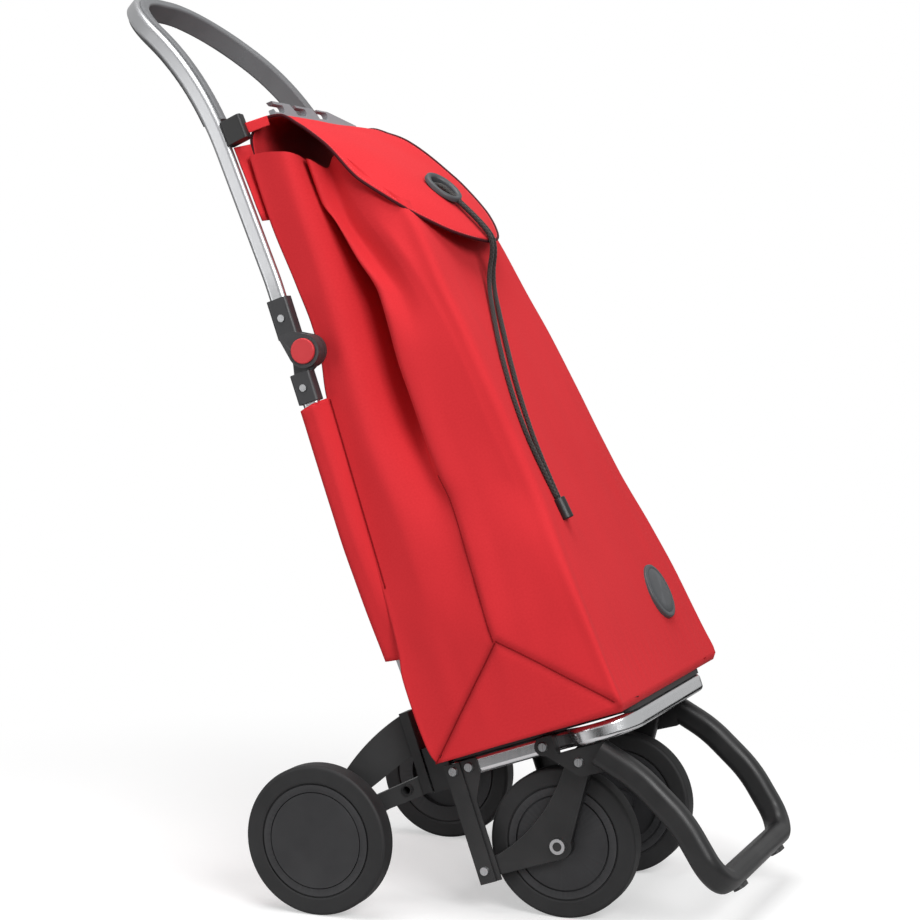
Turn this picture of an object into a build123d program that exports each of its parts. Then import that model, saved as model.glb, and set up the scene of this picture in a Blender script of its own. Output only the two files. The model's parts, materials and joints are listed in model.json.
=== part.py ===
"""Shopping trolley on four wheels with a folding handle and a soft bag.

Every fixed tube and bag panel is set out in a leaning frame: its origin is the rear corner
of the base, x runs across the trolley, b runs back and h runs up along the lean.
"""
import os
from math import acos, cos, degrees, hypot, radians, sin, tan

from build123d import *

os.makedirs("parts", exist_ok=True)

# Stance, in millimetres and degrees
lean_angle = 19.0
corner_y = -46.274
corner_z = 148.7
sides = ((1, "left"), (-1, "right"))

# Fits between neighbouring pieces
face_gap = 0.3
bore_gap = 0.05
socket_gap = 0.1

# Flat oval tube
tube_depth = 20.0
tube_width = 11.0
tube_wall = 1.6

# Wheels
wheel_radius = 82.5
wheel_width = 26.0
shoulder_radius = 4.0
tyre_inner_radius = 61.5
groove_width = 1.8
groove_depth = 2.4
rim_inset = 0.8
rim_inner_radius = 44.0
web_thickness = 8.0
hub_radius = 15.0
cap_radius = 52.5
cap_depth = 4.0
cap_groove = 1.0
axle_radius = 5.0
rear_wheel_outer = 205.0
rear_axle_back = 118.4
front_wheel_outer = 118.0
front_axle_ahead = 136.0

# Folding joint of the handle
frame_half_top = 160.0
pivot_b = -15.0
pivot_h = 487.0
knuckle_radius = 18.5
knuckle_clearance = 2.0
socket_depth = 25.0
socket_width = 18.0
socket_wall_end = 44.0
lower_socket_length = 34.0
tongue_half = 3.6
outer_cheek = 9.0
pin_radius = 4.0
tube_seat = 6.0
screw_radius = 4.0
screw_height = 1.5

# Release button of the folding joint
button_radius = 14.0
button_thickness = 6.0
button_stand = 3.0
button_travel = 2.5
button_gap = 0.3
button_edge = 1.2

# Lower tubes
taper_top = 420.0
taper_bottom = 60.0
taper_radius = 90.0
lower_tube_bottom = 13.0

# Base loop
root_half = 121.0
loop_half = 125.5
rail_h = 1.0
rail_start_b = 6.0
flare_start_b = -156.0
flare_half = 195.0
front_bar_b = -233.0
flare_radius = 32.0
front_corner_radius = 36.0

# Corner brackets at the base
block_width = 23.4
block_wall = 3.5
block_front_wall = 4.5
block_top = 34.0
block_low = -16.0
block_edge = 2.0

# Rear arms
arm_root_b = 18.0
arm_thickness = 14.0
arm_splay = 22.0
arm_boss_radius = 16.0
arm_boss_inner = 20.0
arm_pad_width = 27.0
arm_pad_depth = 11.0
arm_root_top = 78.0
arm_root_low = -14.0
arm_arch_b = 74.0
arm_arch_h = 54.0
arm_bar_b = 66.0
arm_bar_h = -18.0
window_rear_b = 80.0
window_rear_h = 9.0
window_front_b = 27.0
window_front_h = 31.0
window_low_h = 6.0
window_rear_low_h = 0.0
window_round = 4.0
wheel_side_gap = 1.0
cross_tube_radius = 6.0
cross_tube_b = 40.0
cross_tube_h = -4.0
cross_tube_over = 12.0

# Foot bar and its legs
plate_x = 12.0
plate_end = 10.0
plate_step_b = -143.0
plate_under = -10.7
plate_low_b = -160.0
plate_low_h = -40.0
leg_x = 24.0
leg_depth = 29.0
leg_round = 10.0
leg_top_b = -200.0
leg_low_b = -190.0
leg_low_h = -42.0
leg_start_b = -190.3
leg_start_h = -20.5
leg_knee_b = -223.0
leg_knee_h = -57.0
leg_shin_b = -254.0
leg_shin_h = -115.0
leg_bow = 150.0
foot_bar_b = -271.0
foot_bar_h = -190.0
foot_corner = 34.0
pad_length = 26.0
pad_width = 14.0
pad_height = 4.0

# Fork arms, struts and their fasteners
lap_b = -164.0
lap_h = -25.0
lap_radius = 12.0
fork_boss_radius = 15.0
fork_tip_height = 17.0
fork_tip_h = -112.0
fork_arc_b = -108.0
fork_arc_h = -62.0
fork_top_b = -150.0
strut_back_b = -8.0
strut_depth = 19.0
strut_wall = 2.0
strut_bottom = -126.0
strut_top = 9.0
gusset_reach = 32.0
gusset_neck_h = -36.0
gusset_width = 18.0
gusset_thickness = 1.6
rail_rivet_b = -130.0
rivet_radius = 5.5
rivet_height = 2.6
rivet_taper = 20.0
ring_radius = 8.5
ring_height = 4.0

# Handle
bend_b = 22.0
bend_h = 815.0
bend_half = 142.0
leg_straight = 58.5
leg_break_radius = 160.0
arch_tilt = 33.0
arch_rise = 166.0
arch_corner_half = 96.5
arch_radius = 102.0
bend_radius = 335.0
grip_low = 765.0
grip_depth = 26.0
grip_reach = 13.0
grip_lap = 0.5
grip_round = 3.0
clip_h = 744.0
clip_depth = 27.0
clip_width = 15.0
clip_height = 28.0
clip_lap = 2.0
clip_round = 4.0

# Bag
cloth = 2.5
bag_back_b = -16.0
bag_low_spread = 11.0
bag_top_inset = 23.0
bag_low_h = 12.0
bag_back_top = 715.0
bag_front_low_b = -246.0
bag_front_low_half = 190.0
bag_front_top_b = -168.0
bag_front_top_h = 571.0
bag_front_top_half = 120.0
fold_h = 124.0
fold_low_b = -130.0
fold_top_b = -93.4
fold_least = 1.5
fold_depth = 42.4
board_thickness = 6.0
board_margin = 14.0
liner_thickness = 3.0
liner_inset = 8.0

# Rear sleeve round the lower tubes
sleeve_low = 138.0
sleeve_clear = 6.5
sleeve_spread = 9.5
sleeve_low_half = 152.0
sleeve_back_b = 14.0
sleeve_root_half = 130.0
sleeve_corner = 7.0

# Yoke, hook rail and flap at the top of the bag
crest_b = -50.0
crest_h = 749.0
yoke_half = 131.0
yoke_low_b = -12.8
yoke_drop = 59.0
yoke_radius = 24.0
yoke_thickness = 3.0
hook_near = -126.0
hook_far = 95.0
hook_shoulder = 22.0
hook_back_b = -41.5
hook_depth = 7.0
hook_height = 17.0
hook_drop = 2.0
hook_tail = 3.0
hook_first = -112.0
hook_pitch = 58.0
hook_count = 3
hook_slot_length = 28.0
hook_slot_width = 9.0
hook_slot_rise = 9.0
hook_mouth_length = 30.0
hook_mouth_width = 7.0
hook_mouth_turn = 35.0
flap_tip_b = -199.0
flap_tip_h = 554.0
flap_bulge = 14.0
flap_thickness = 3.0
flap_half = 128.0
flap_tip_half = 104.0
flap_tip_radius = 88.0
flap_hinge_gap = 3.2
eyelet_along = 150.0
eyelet_length = 46.0
eyelet_width = 32.0
eyelet_rim = 7.0
eyelet_height = 3.0

# Drawcord, its end and the badge
cord_radius = 2.6
cord_spacing = 6.0
cord_stand = 8.0
cord_rise = 6.6
cord_low_h = 250.0
cord_fall_h = 512.0
cord_drift = -112.0
cord_swing = 100.0
cord_steps = 5
cord_turn = 0.45
cord_end_radius = 7.5
cord_end_length = 24.0
badge_radius = 26.0
badge_thickness = 4.0
badge_x = 80.0
badge_along = 105.0

# Leaning frame and the planes taken from it
lean_vector = (0, sin(radians(lean_angle)), cos(radians(lean_angle)))
lean = Plane(origin=(0, corner_y, corner_z), x_dir=(1, 0, 0), z_dir=lean_vector)


def at(x, b, h):
    """Point of the leaning frame in the shared frame."""
    return lean.from_local_coords(Vector(x, b, h))


def side(x):
    """Plane across the trolley at x, drawn in (b, h)."""
    return Plane(origin=at(x, 0, 0), x_dir=lean.y_dir, z_dir=lean.x_dir)


def level(h):
    """Plane square to the lean at h, drawn in (x, b)."""
    return lean.offset(h)


def facing(b):
    """Plane facing forward at b, drawn in (x, h)."""
    return Plane(origin=at(0, b, 0), x_dir=lean.x_dir, z_dir=lean.y_dir * -1)


def to_frame(b, h):
    """Direction (b, h) of the leaning frame in the shared frame."""
    return lean.y_dir * b + lean.z_dir * h


def local_bh(y, z):
    """Point (y, z) of the shared frame in (b, h)."""
    point = lean.to_local_coords(Vector(0, y, z))
    return point.Y, point.Z


def keep(builder, label):
    """Label a finished piece and write it."""
    builder.part.label = label
    export_step(builder.part, "parts/" + label + ".step")


rear_axle_y = corner_y + rear_axle_back
front_axle_y = corner_y - front_axle_ahead
rear_axle_b, rear_axle_h = local_bh(rear_axle_y, wheel_radius)
front_axle_b, front_axle_h = local_bh(front_axle_y, wheel_radius)
rail_outer = loop_half + tube_width / 2
rail_top = rail_h + tube_depth / 2
rail_low = rail_h - tube_depth / 2
bag_floor_h = rail_top + board_thickness + 2 * face_gap
block_back = tube_depth / 2 + block_wall
block_front = -tube_depth / 2 - block_front_wall

# Wheels: a tyre and a disc with a web, and at the rear a plain cover let into the outer face
axle_rows = (front_axle_y, front_wheel_outer, "front"), (rear_axle_y, rear_wheel_outer, "rear")
for axle_y, outer, place in axle_rows:
    turned = Plane(origin=(0, axle_y, wheel_radius), x_dir=(1, 0, 0), z_dir=(0, -1, 0))
    spin = Axis((0, axle_y, wheel_radius), (1, 0, 0))
    for sign, hand in sides:
        middle = sign * (outer - wheel_width / 2)
        outer_face = sign * (outer - rim_inset)
        rim_width = wheel_width - 2 * rim_inset
        disc_radius = tyre_inner_radius - socket_gap
        with BuildPart() as tyre:
            with BuildSketch(turned) as tyre_section:
                with Locations((middle, (wheel_radius + tyre_inner_radius) / 2)):
                    Rectangle(wheel_width, wheel_radius - tyre_inner_radius)
                fillet(tyre_section.vertices().group_by(Axis.Z)[-1], shoulder_radius)
                for edge in (-1, 1):
                    with Locations((middle + edge * (wheel_width - groove_depth) / 2,
                                    tyre_inner_radius + groove_width / 2)):
                        Rectangle(groove_depth, groove_width, mode=Mode.SUBTRACT)
            revolve(axis=spin)
        keep(tyre, "tyre_" + place + "_" + hand)
        with BuildPart() as disc:
            with BuildSketch(turned):
                with Locations((middle, (disc_radius + rim_inner_radius) / 2)):
                    Rectangle(rim_width, disc_radius - rim_inner_radius)
                with Locations((middle, disc_radius / 2)):
                    Rectangle(web_thickness, disc_radius)
                with Locations((middle, hub_radius / 2)):
                    Rectangle(rim_width, hub_radius)
                if place == "rear":
                    with Locations((outer_face - sign * cap_depth / 2, (cap_radius + cap_groove) / 2)):
                        Rectangle(cap_depth, cap_radius + cap_groove, mode=Mode.SUBTRACT)
                else:
                    with Locations((outer_face - sign * cap_depth / 2, cap_radius / 2)):
                        Rectangle(cap_depth, cap_radius)
                    for edge in (-1, 1):
                        with Locations((middle + edge * (rim_width - groove_depth) / 2, cap_radius)):
                            Rectangle(groove_depth, groove_width, mode=Mode.SUBTRACT)
                with Locations((middle, (axle_radius + bore_gap) / 2)):
                    Rectangle(wheel_width, axle_radius + bore_gap, mode=Mode.SUBTRACT)
            revolve(axis=spin)
        keep(disc, "wheel_disc_" + place + "_" + hand)
        if place == "rear":
            with BuildPart() as cap:
                with BuildSketch(turned):
                    with Locations((outer_face - sign * (cap_depth - face_gap) / 2, cap_radius / 2)):
                        Rectangle(cap_depth - face_gap, cap_radius)
                revolve(axis=spin)
            keep(cap, "wheel_cap_" + place + "_" + hand)

# Rear axle stubs
rear_axle_end = rear_wheel_outer - rim_inset - cap_depth - 2 * face_gap
rear_boss_face = rear_wheel_outer - wheel_width - wheel_side_gap
rear_axle_start = rear_boss_face - arm_boss_inner
for sign, hand in sides:
    with BuildPart() as rear_axle:
        with BuildSketch(Plane.YZ.offset(sign * rear_axle_start)):
            with Locations((rear_axle_y, wheel_radius)):
                Circle(axle_radius)
        extrude(amount=sign * (rear_axle_end - rear_axle_start))
    keep(rear_axle, "rear_axle_" + hand)

# Front axle rod and the rings that hold it
fork_inner = front_wheel_outer + wheel_side_gap + face_gap
fork_thickness = rail_outer - fork_inner
plate_inner = rail_outer + face_gap
axle_end = rail_outer + ring_height + face_gap
with BuildPart() as front_axle:
    with BuildSketch(Plane.YZ.offset(-axle_end)):
        with Locations((front_axle_y, wheel_radius)):
            Circle(axle_radius)
    extrude(amount=2 * axle_end)
keep(front_axle, "front_axle")

with BuildPart() as axle_rings:
    for sign, hand in sides:
        with BuildSketch(Plane.YZ.offset(sign * (rail_outer + bore_gap))):
            with Locations((front_axle_y, wheel_radius)):
                Circle(ring_radius)
                Circle(axle_radius + bore_gap, mode=Mode.SUBTRACT)
        extrude(amount=sign * ring_height)
keep(axle_rings, "axle_rings")

# Fork arms, lapped to the foot bar at the front and to the struts at the rear
fork_tip_b = strut_back_b - strut_wall - 2 * face_gap
for sign, hand in sides:
    with BuildPart() as fork_arm:
        with BuildSketch(side(sign * fork_inner)):
            with BuildLine():
                Polyline((fork_top_b, lap_h + lap_radius), (lap_b, lap_h + lap_radius),
                         (lap_b - lap_radius, lap_h),
                         (front_axle_b - fork_boss_radius, front_axle_h),
                         (front_axle_b, front_axle_h - fork_boss_radius),
                         (fork_tip_b, fork_tip_h - fork_tip_height / 2),
                         (fork_tip_b, fork_tip_h + fork_tip_height / 2))
                ThreePointArc((fork_tip_b, fork_tip_h + fork_tip_height / 2), (fork_arc_b, fork_arc_h),
                              (fork_top_b, lap_h + lap_radius))
            make_face()
            with Locations((front_axle_b, front_axle_h)):
                Circle(fork_boss_radius)
                Circle(axle_radius + bore_gap, mode=Mode.SUBTRACT)
        extrude(amount=sign * fork_thickness)
    keep(fork_arm, "fork_arm_" + hand)

# Gussets on the rails and struts of bent steel outside them
gusset_outer = plate_inner + gusset_thickness
strut_inner = gusset_outer + face_gap
strut_outer = strut_inner + strut_wall
gusset_back = block_front - face_gap
for sign, hand in sides:
    with BuildPart() as gusset:
        with BuildSketch(side(sign * plate_inner)):
            with BuildLine():
                Polyline((gusset_back, strut_top), (gusset_back - gusset_reach, strut_top),
                         (gusset_back - gusset_reach, rail_low),
                         (gusset_back - gusset_width, gusset_neck_h),
                         (gusset_back - gusset_width, strut_bottom), (gusset_back, strut_bottom), close=True)
            make_face()
        extrude(amount=sign * gusset_thickness)
    keep(gusset, "gusset_" + hand)
    with BuildPart() as strut:
        with BuildSketch(side(sign * strut_inner)):
            with Locations((strut_back_b - strut_depth / 2, (strut_top + strut_bottom) / 2)):
                Rectangle(strut_depth, strut_top - strut_bottom)
        extrude(amount=sign * strut_wall)
        strut_under = block_low - 2 * face_gap
        with BuildSketch(side(sign * fork_inner)):
            with Locations((strut_back_b - strut_wall / 2, (strut_under + strut_bottom) / 2)):
                Rectangle(strut_wall, strut_under - strut_bottom)
        extrude(amount=sign * (strut_outer - fork_inner))
    keep(strut, "strut_" + hand)

# Foot bar: one round-edged bar bent into two bowed legs and a cross bar, with plates on the rails
plate_outer = plate_inner + plate_x
leg_middle = plate_inner + leg_x / 2
with BuildLine(lean) as foot_path:
    FilletPolyline((leg_middle, leg_start_b, leg_start_h), (leg_middle, leg_knee_b, leg_knee_h),
                   (leg_middle, leg_shin_b, leg_shin_h), (leg_middle, foot_bar_b, foot_bar_h),
                   (-leg_middle, foot_bar_b, foot_bar_h), (-leg_middle, leg_shin_b, leg_shin_h),
                   (-leg_middle, leg_knee_b, leg_knee_h), (-leg_middle, leg_start_b, leg_start_h),
                   radius=[leg_bow, leg_bow, foot_corner, foot_corner, leg_bow, leg_bow])
with BuildPart() as foot_bar:
    with BuildSketch(Plane(origin=at(leg_middle, leg_start_b, leg_start_h), x_dir=(1, 0, 0),
                           z_dir=to_frame(leg_knee_b - leg_start_b, leg_knee_h - leg_start_h))):
        RectangleRounded(leg_x, leg_depth, leg_round)
    sweep(path=foot_path.wire())
    for sign, hand in sides:
        with BuildSketch(side(sign * plate_inner)):
            with BuildLine():
                Polyline((plate_low_b, plate_low_h), (rail_rivet_b, rail_h - plate_end),
                         (rail_rivet_b, rail_h + plate_end), (plate_step_b, rail_h + plate_end),
                         (plate_step_b, plate_under), (leg_top_b, plate_under), (leg_low_b, leg_low_h), close=True)
            make_face()
            with Locations((rail_rivet_b, rail_h)):
                Circle(plate_end)
        extrude(amount=sign * plate_x)
keep(foot_bar, "foot_bar")

bar_down = to_frame(foot_bar_b - leg_shin_b, foot_bar_h - leg_shin_h).normalized()
bar_under = at(0, foot_bar_b, foot_bar_h) + bar_down * (leg_x / 2 + bore_gap)
with BuildPart() as foot_pads:
    with BuildSketch(Plane(origin=bar_under, x_dir=(1, 0, 0), z_dir=bar_down)):
        for sign, hand in sides:
            with Locations((sign * (leg_middle - foot_corner - pad_length), 0)):
                SlotOverall(pad_length, pad_width)
    extrude(amount=pad_height)
keep(foot_pads, "foot_pads")

# Base loop of flat oval tube standing on edge
with BuildLine(level(rail_h)) as loop_path:
    FilletPolyline((loop_half, rail_start_b), (loop_half, flare_start_b), (flare_half, front_bar_b),
                   (-flare_half, front_bar_b), (-loop_half, flare_start_b), (-loop_half, rail_start_b),
                   radius=[flare_radius, front_corner_radius, front_corner_radius, flare_radius])
with BuildPart() as base_loop:
    with BuildSketch(Plane(origin=at(loop_half, rail_start_b, rail_h), x_dir=lean.z_dir, z_dir=lean.y_dir * -1)):
        SlotOverall(tube_depth, tube_width)
        SlotOverall(tube_depth - 2 * tube_wall, tube_width - 2 * tube_wall, mode=Mode.SUBTRACT)
    sweep(path=loop_path.wire())
keep(base_loop, "base_loop")

# Lower tubes, drawn in at the base
knuckle_step = knuckle_radius + knuckle_clearance
lower_socket_top = pivot_h - knuckle_step
lower_tube_top = lower_socket_top - tube_seat
for sign, hand in sides:
    with BuildLine(facing(0)) as tube_path:
        FilletPolyline((sign * frame_half_top, lower_tube_top), (sign * frame_half_top, taper_top),
                       (sign * root_half, taper_bottom), (sign * root_half, lower_tube_bottom),
                       radius=taper_radius)
    with BuildPart() as lower_tube:
        with BuildSketch(Plane(origin=at(sign * frame_half_top, 0, lower_tube_top), x_dir=lean.y_dir,
                               z_dir=lean.z_dir * -1)):
            SlotOverall(tube_depth, tube_width)
            SlotOverall(tube_depth - 2 * tube_wall, tube_width - 2 * tube_wall, mode=Mode.SUBTRACT)
        sweep(path=tube_path.wire())
    keep(lower_tube, "lower_tube_" + hand)

# Corner blocks that take the tube from above and the rail from the front
for sign, hand in sides:
    with BuildPart() as corner_block:
        with BuildSketch(level(block_low)):
            with Locations((sign * root_half, (block_back + block_front) / 2)):
                RectangleRounded(block_width, block_back - block_front, block_edge)
        extrude(amount=block_top - block_low)
        with BuildSketch(level(block_top)):
            with Locations((sign * root_half, 0)):
                SlotOverall(tube_depth + 2 * socket_gap, tube_width + 2 * socket_gap, rotation=90)
        extrude(amount=lower_tube_bottom - block_top - socket_gap, mode=Mode.SUBTRACT)
        with BuildSketch(facing(rail_start_b + socket_gap)):
            with Locations((sign * loop_half, rail_h)):
                SlotOverall(tube_depth + 2 * socket_gap, tube_width + 2 * socket_gap, rotation=90)
        extrude(amount=rail_start_b - block_front + 2 * block_front_wall, mode=Mode.SUBTRACT)
    keep(corner_block, "corner_block_" + hand)

# Rear arms: a pad on the corner block, a splayed arch with a window, and a boss for the axle
splay = radians(arm_splay)
pad_front = block_back + face_gap
for sign, hand in sides:
    arm_plane = Plane(origin=at(sign * root_half, arm_root_b, 0),
                      x_dir=lean.y_dir * cos(splay) + lean.x_dir * (sign * sin(splay)),
                      z_dir=lean.x_dir * cos(splay) - lean.y_dir * (sign * sin(splay)))

    def reach(b):
        """Distance along the splayed plane at b."""
        return (b - arm_root_b) / cos(splay)

    axle_reach = reach(rear_axle_b)
    with BuildPart() as rear_arm:
        with BuildSketch(arm_plane):
            with BuildLine():
                ThreePointArc((0, arm_root_top), (reach(arm_arch_b), arm_arch_h),
                              (axle_reach + arm_boss_radius / 2, rear_axle_h + arm_boss_radius / 2))
                Polyline((axle_reach + arm_boss_radius / 2, rear_axle_h + arm_boss_radius / 2),
                         (axle_reach, rear_axle_h - arm_boss_radius / 2), (reach(arm_bar_b), arm_bar_h),
                         (0, arm_root_low), (0, arm_root_top))
            make_face()
            with BuildSketch(mode=Mode.SUBTRACT) as window:
                Polygon((reach(window_front_b), window_low_h), (reach(window_rear_b), window_rear_low_h),
                        (reach(window_rear_b), window_rear_h), (reach(window_front_b), window_front_h),
                        align=None)
                fillet(window.vertices(), window_round)
        extrude(amount=arm_thickness / 2, both=True)
        with BuildSketch(facing(pad_front)):
            with Locations((sign * root_half, (arm_root_top + arm_root_low) / 2)):
                Rectangle(arm_pad_width, arm_root_top - arm_root_low)
        extrude(amount=-arm_pad_depth)
        with BuildSketch(Plane.YZ.offset(sign * rear_axle_start)):
            with Locations((rear_axle_y, wheel_radius)):
                Circle(arm_boss_radius)
        extrude(amount=sign * arm_boss_inner)
        with BuildSketch(Plane.YZ.offset(sign * rear_axle_start)):
            with Locations((rear_axle_y, wheel_radius)):
                Circle(axle_radius + bore_gap)
        extrude(amount=sign * 2 * arm_boss_inner, both=True, mode=Mode.SUBTRACT)
        with BuildSketch(side(0)):
            with Locations((cross_tube_b, cross_tube_h)):
                Circle(cross_tube_radius + bore_gap)
        extrude(amount=sign * rear_wheel_outer, mode=Mode.SUBTRACT)
    keep(rear_arm, "rear_arm_" + hand)

cross_half = root_half + (cross_tube_b - arm_root_b) * tan(splay) + cross_tube_over
with BuildPart() as cross_tube:
    with BuildSketch(side(-cross_half)):
        with Locations((cross_tube_b, cross_tube_h)):
            Circle(cross_tube_radius)
            Circle(cross_tube_radius - tube_wall, mode=Mode.SUBTRACT)
    extrude(amount=2 * cross_half)
keep(cross_tube, "rear_cross_tube")

# Folding joint: a tongue on the lower socket between two cheeks of the upper socket
socket_inner = frame_half_top - socket_width / 2
socket_outer = frame_half_top + socket_width / 2
cheek_edge = tongue_half + face_gap
cheek_outer = frame_half_top + cheek_edge + outer_cheek
upper_socket_low = pivot_h + knuckle_step
upper_socket_top = upper_socket_low + socket_wall_end
recess_floor = cheek_outer - button_travel - button_gap - (button_thickness - button_stand)
for sign, hand in sides:
    with BuildPart() as hinge_lower:
        with BuildSketch(level(lower_socket_top)):
            with Locations((sign * frame_half_top, 0)):
                RectangleRounded(socket_width, socket_depth, clip_round)
        extrude(amount=-lower_socket_length)
        with BuildSketch(side(sign * (frame_half_top - tongue_half))):
            with Locations((pivot_b, pivot_h)):
                Circle(knuckle_radius)
            with Locations((0, lower_socket_top - knuckle_clearance)):
                Rectangle(socket_depth - 2 * clip_round, 2 * knuckle_clearance)
            make_hull()
            with Locations((pivot_b, pivot_h)):
                Circle(pin_radius + bore_gap, mode=Mode.SUBTRACT)
        extrude(amount=sign * 2 * tongue_half)
        with BuildSketch(level(lower_tube_top + socket_gap)):
            with Locations((sign * frame_half_top, 0)):
                SlotOverall(tube_depth + 2 * socket_gap, tube_width + 2 * socket_gap, rotation=90)
        extrude(amount=-2 * lower_socket_length, mode=Mode.SUBTRACT)
    keep(hinge_lower, "hinge_lower_" + hand)
    with BuildPart() as hinge_pin:
        with BuildSketch(side(sign * (socket_inner + bore_gap))):
            with Locations((pivot_b, pivot_h)):
                Circle(pin_radius)
        extrude(amount=sign * (recess_floor - bore_gap - socket_inner - bore_gap))
    keep(hinge_pin, "hinge_pin_" + hand)
    with BuildPart() as hinge_upper:
        with BuildSketch(level(upper_socket_low)):
            with Locations((sign * frame_half_top, 0)):
                RectangleRounded(socket_width, socket_depth, clip_round)
        extrude(amount=socket_wall_end)
        for near_x, far_x in ((socket_inner, frame_half_top - cheek_edge),
                              (frame_half_top + cheek_edge, cheek_outer)):
            with BuildSketch(side(sign * near_x)):
                with Locations((pivot_b, pivot_h)):
                    Circle(knuckle_radius)
                with Locations((0, upper_socket_low + knuckle_clearance)):
                    Rectangle(socket_depth - 2 * clip_round, 2 * knuckle_clearance)
                make_hull()
                with Locations((pivot_b, pivot_h)):
                    Circle(pin_radius + bore_gap, mode=Mode.SUBTRACT)
            extrude(amount=sign * (far_x - near_x))
        with BuildSketch(side(sign * recess_floor)):
            with Locations((pivot_b, pivot_h)):
                Circle(button_radius + button_gap)
        extrude(amount=sign * outer_cheek, mode=Mode.SUBTRACT)
        with BuildSketch(level(upper_socket_low + tube_seat - socket_gap)):
            with Locations((sign * frame_half_top, 0)):
                SlotOverall(tube_depth + 2 * socket_gap, tube_width + 2 * socket_gap, rotation=90)
        extrude(amount=2 * socket_wall_end, mode=Mode.SUBTRACT)
    keep(hinge_upper, "hinge_upper_" + hand)
    with BuildPart() as release_button:
        with BuildSketch(side(sign * (cheek_outer + button_stand - button_thickness))):
            with Locations((pivot_b, pivot_h)):
                Circle(button_radius)
        extrude(amount=sign * button_thickness)
        outer_rim = release_button.edges().sort_by(Axis.X)[-1 if sign > 0 else 0]
        fillet(outer_rim, button_edge)
    keep(release_button, "release_button_" + hand)

# Rivet heads on the base and screw heads on the lower sockets
strut_middle = strut_back_b - strut_depth / 2
with BuildPart() as frame_rivets:
    for sign, hand in sides:
        for rivet_x, rivet_b, rivet_h in ((plate_outer, rail_rivet_b, rail_h), (plate_outer, lap_b, lap_h),
                                          (strut_outer, strut_middle, rail_h),
                                          (strut_outer, strut_middle, fork_tip_h),
                                          (gusset_outer, gusset_back - gusset_reach + 2 * rivet_radius, rail_h)):
            with BuildSketch(side(sign * (rivet_x + bore_gap))):
                with Locations((rivet_b, rivet_h)):
                    Circle(rivet_radius)
            extrude(amount=sign * rivet_height, taper=rivet_taper)
        with BuildSketch(side(sign * (socket_outer + bore_gap))):
            with Locations((0, lower_socket_top - lower_socket_length / 2)):
                Circle(screw_radius)
        extrude(amount=sign * screw_height)
keep(frame_rivets, "frame_rivets")

with BuildPart() as upper_screws:
    for sign, hand in sides:
        with BuildSketch(side(sign * (socket_outer + bore_gap))):
            with Locations((0, upper_socket_low + socket_wall_end / 2)):
                Circle(screw_radius)
        extrude(amount=sign * screw_height)
keep(upper_screws, "hinge_screws_upper")

# Handle tube: two legs drawn in, a long bend back and a rounded arch
tilt = radians(arch_tilt)
handle_low = upper_socket_low + tube_seat
leg_break_h = handle_low + leg_straight
top_b = bend_b + arch_rise * sin(tilt)
top_h = bend_h + arch_rise * cos(tilt)
with BuildLine(lean) as handle_path:
    FilletPolyline((frame_half_top, 0, handle_low), (frame_half_top, 0, leg_break_h), (bend_half, bend_b, bend_h),
                   (arch_corner_half, top_b, top_h), (-arch_corner_half, top_b, top_h),
                   (-bend_half, bend_b, bend_h), (-frame_half_top, 0, leg_break_h),
                   (-frame_half_top, 0, handle_low),
                   radius=[leg_break_radius, bend_radius, arch_radius, arch_radius, bend_radius,
                           leg_break_radius])
handle_end = Plane(origin=at(frame_half_top, 0, handle_low), x_dir=lean.y_dir, z_dir=lean.z_dir)
with BuildPart() as handle_tube:
    with BuildSketch(handle_end):
        SlotOverall(tube_depth, tube_width)
        SlotOverall(tube_depth - 2 * tube_wall, tube_width - 2 * tube_wall, mode=Mode.SUBTRACT)
    sweep(path=handle_path.wire())
keep(handle_tube, "handle_tube")

# Soft grip that wraps the inner half of the arch
with BuildPart() as handle_grip:
    with BuildSketch(handle_end):
        with Locations((0, grip_lap + grip_reach / 2)):
            RectangleRounded(grip_depth, grip_reach, grip_round)
        SlotOverall(tube_depth + 2 * socket_gap, tube_width + 2 * socket_gap, mode=Mode.SUBTRACT)
    sweep(path=handle_path.wire())
    split(bisect_by=level(grip_low), keep=Keep.TOP)
keep(handle_grip, "handle_grip")

# Clips in front of the handle legs that take the rear corners of the bag
clip_part = (clip_h - leg_break_h) / (bend_h - leg_break_h)
with BuildPart() as bag_clips:
    for sign, hand in sides:
        leg_line = at(sign * bend_half, bend_b, bend_h) - at(sign * frame_half_top, 0, leg_break_h)
        clip_centre = at(sign * frame_half_top, 0, leg_break_h) + leg_line * clip_part
        with BuildSketch(Plane(origin=clip_centre, x_dir=lean.y_dir, z_dir=leg_line)):
            with Locations((clip_lap - (tube_depth + clip_depth) / 2, 0)):
                RectangleRounded(clip_depth, clip_width, clip_round)
        extrude(amount=clip_height / 2, both=True)
    with BuildSketch(handle_end):
        SlotOverall(tube_depth + 2 * socket_gap, tube_width + 2 * socket_gap)
    sweep(path=handle_path.wire(), mode=Mode.SUBTRACT)
keep(bag_clips, "bag_clips")


# Bag: back and front panels, sides folded in towards the mouth, a floor and a stiffening board
bag_half_low = frame_half_top + bag_low_spread
bag_half_top = frame_half_top - bag_top_inset
back_slope = (bag_half_top - bag_half_low) / (bag_back_top - bag_low_h)
front_narrow = (bag_front_top_half - bag_front_low_half) / (bag_front_top_h - bag_low_h)
front_slope = (bag_front_top_b - bag_front_low_b) / (bag_front_top_h - bag_low_h)
side_top = bag_back_top + cloth


def bag_front_b(h):
    """Outer face of the front panel at h."""
    return bag_front_low_b + front_slope * (h - bag_low_h)


def back_half(h):
    """Half width of the back panel at h."""
    return bag_half_low + back_slope * (h - bag_low_h)


def front_half(h):
    """Half width of the front panel at h."""
    return bag_front_low_half + front_narrow * (h - bag_low_h)


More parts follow.
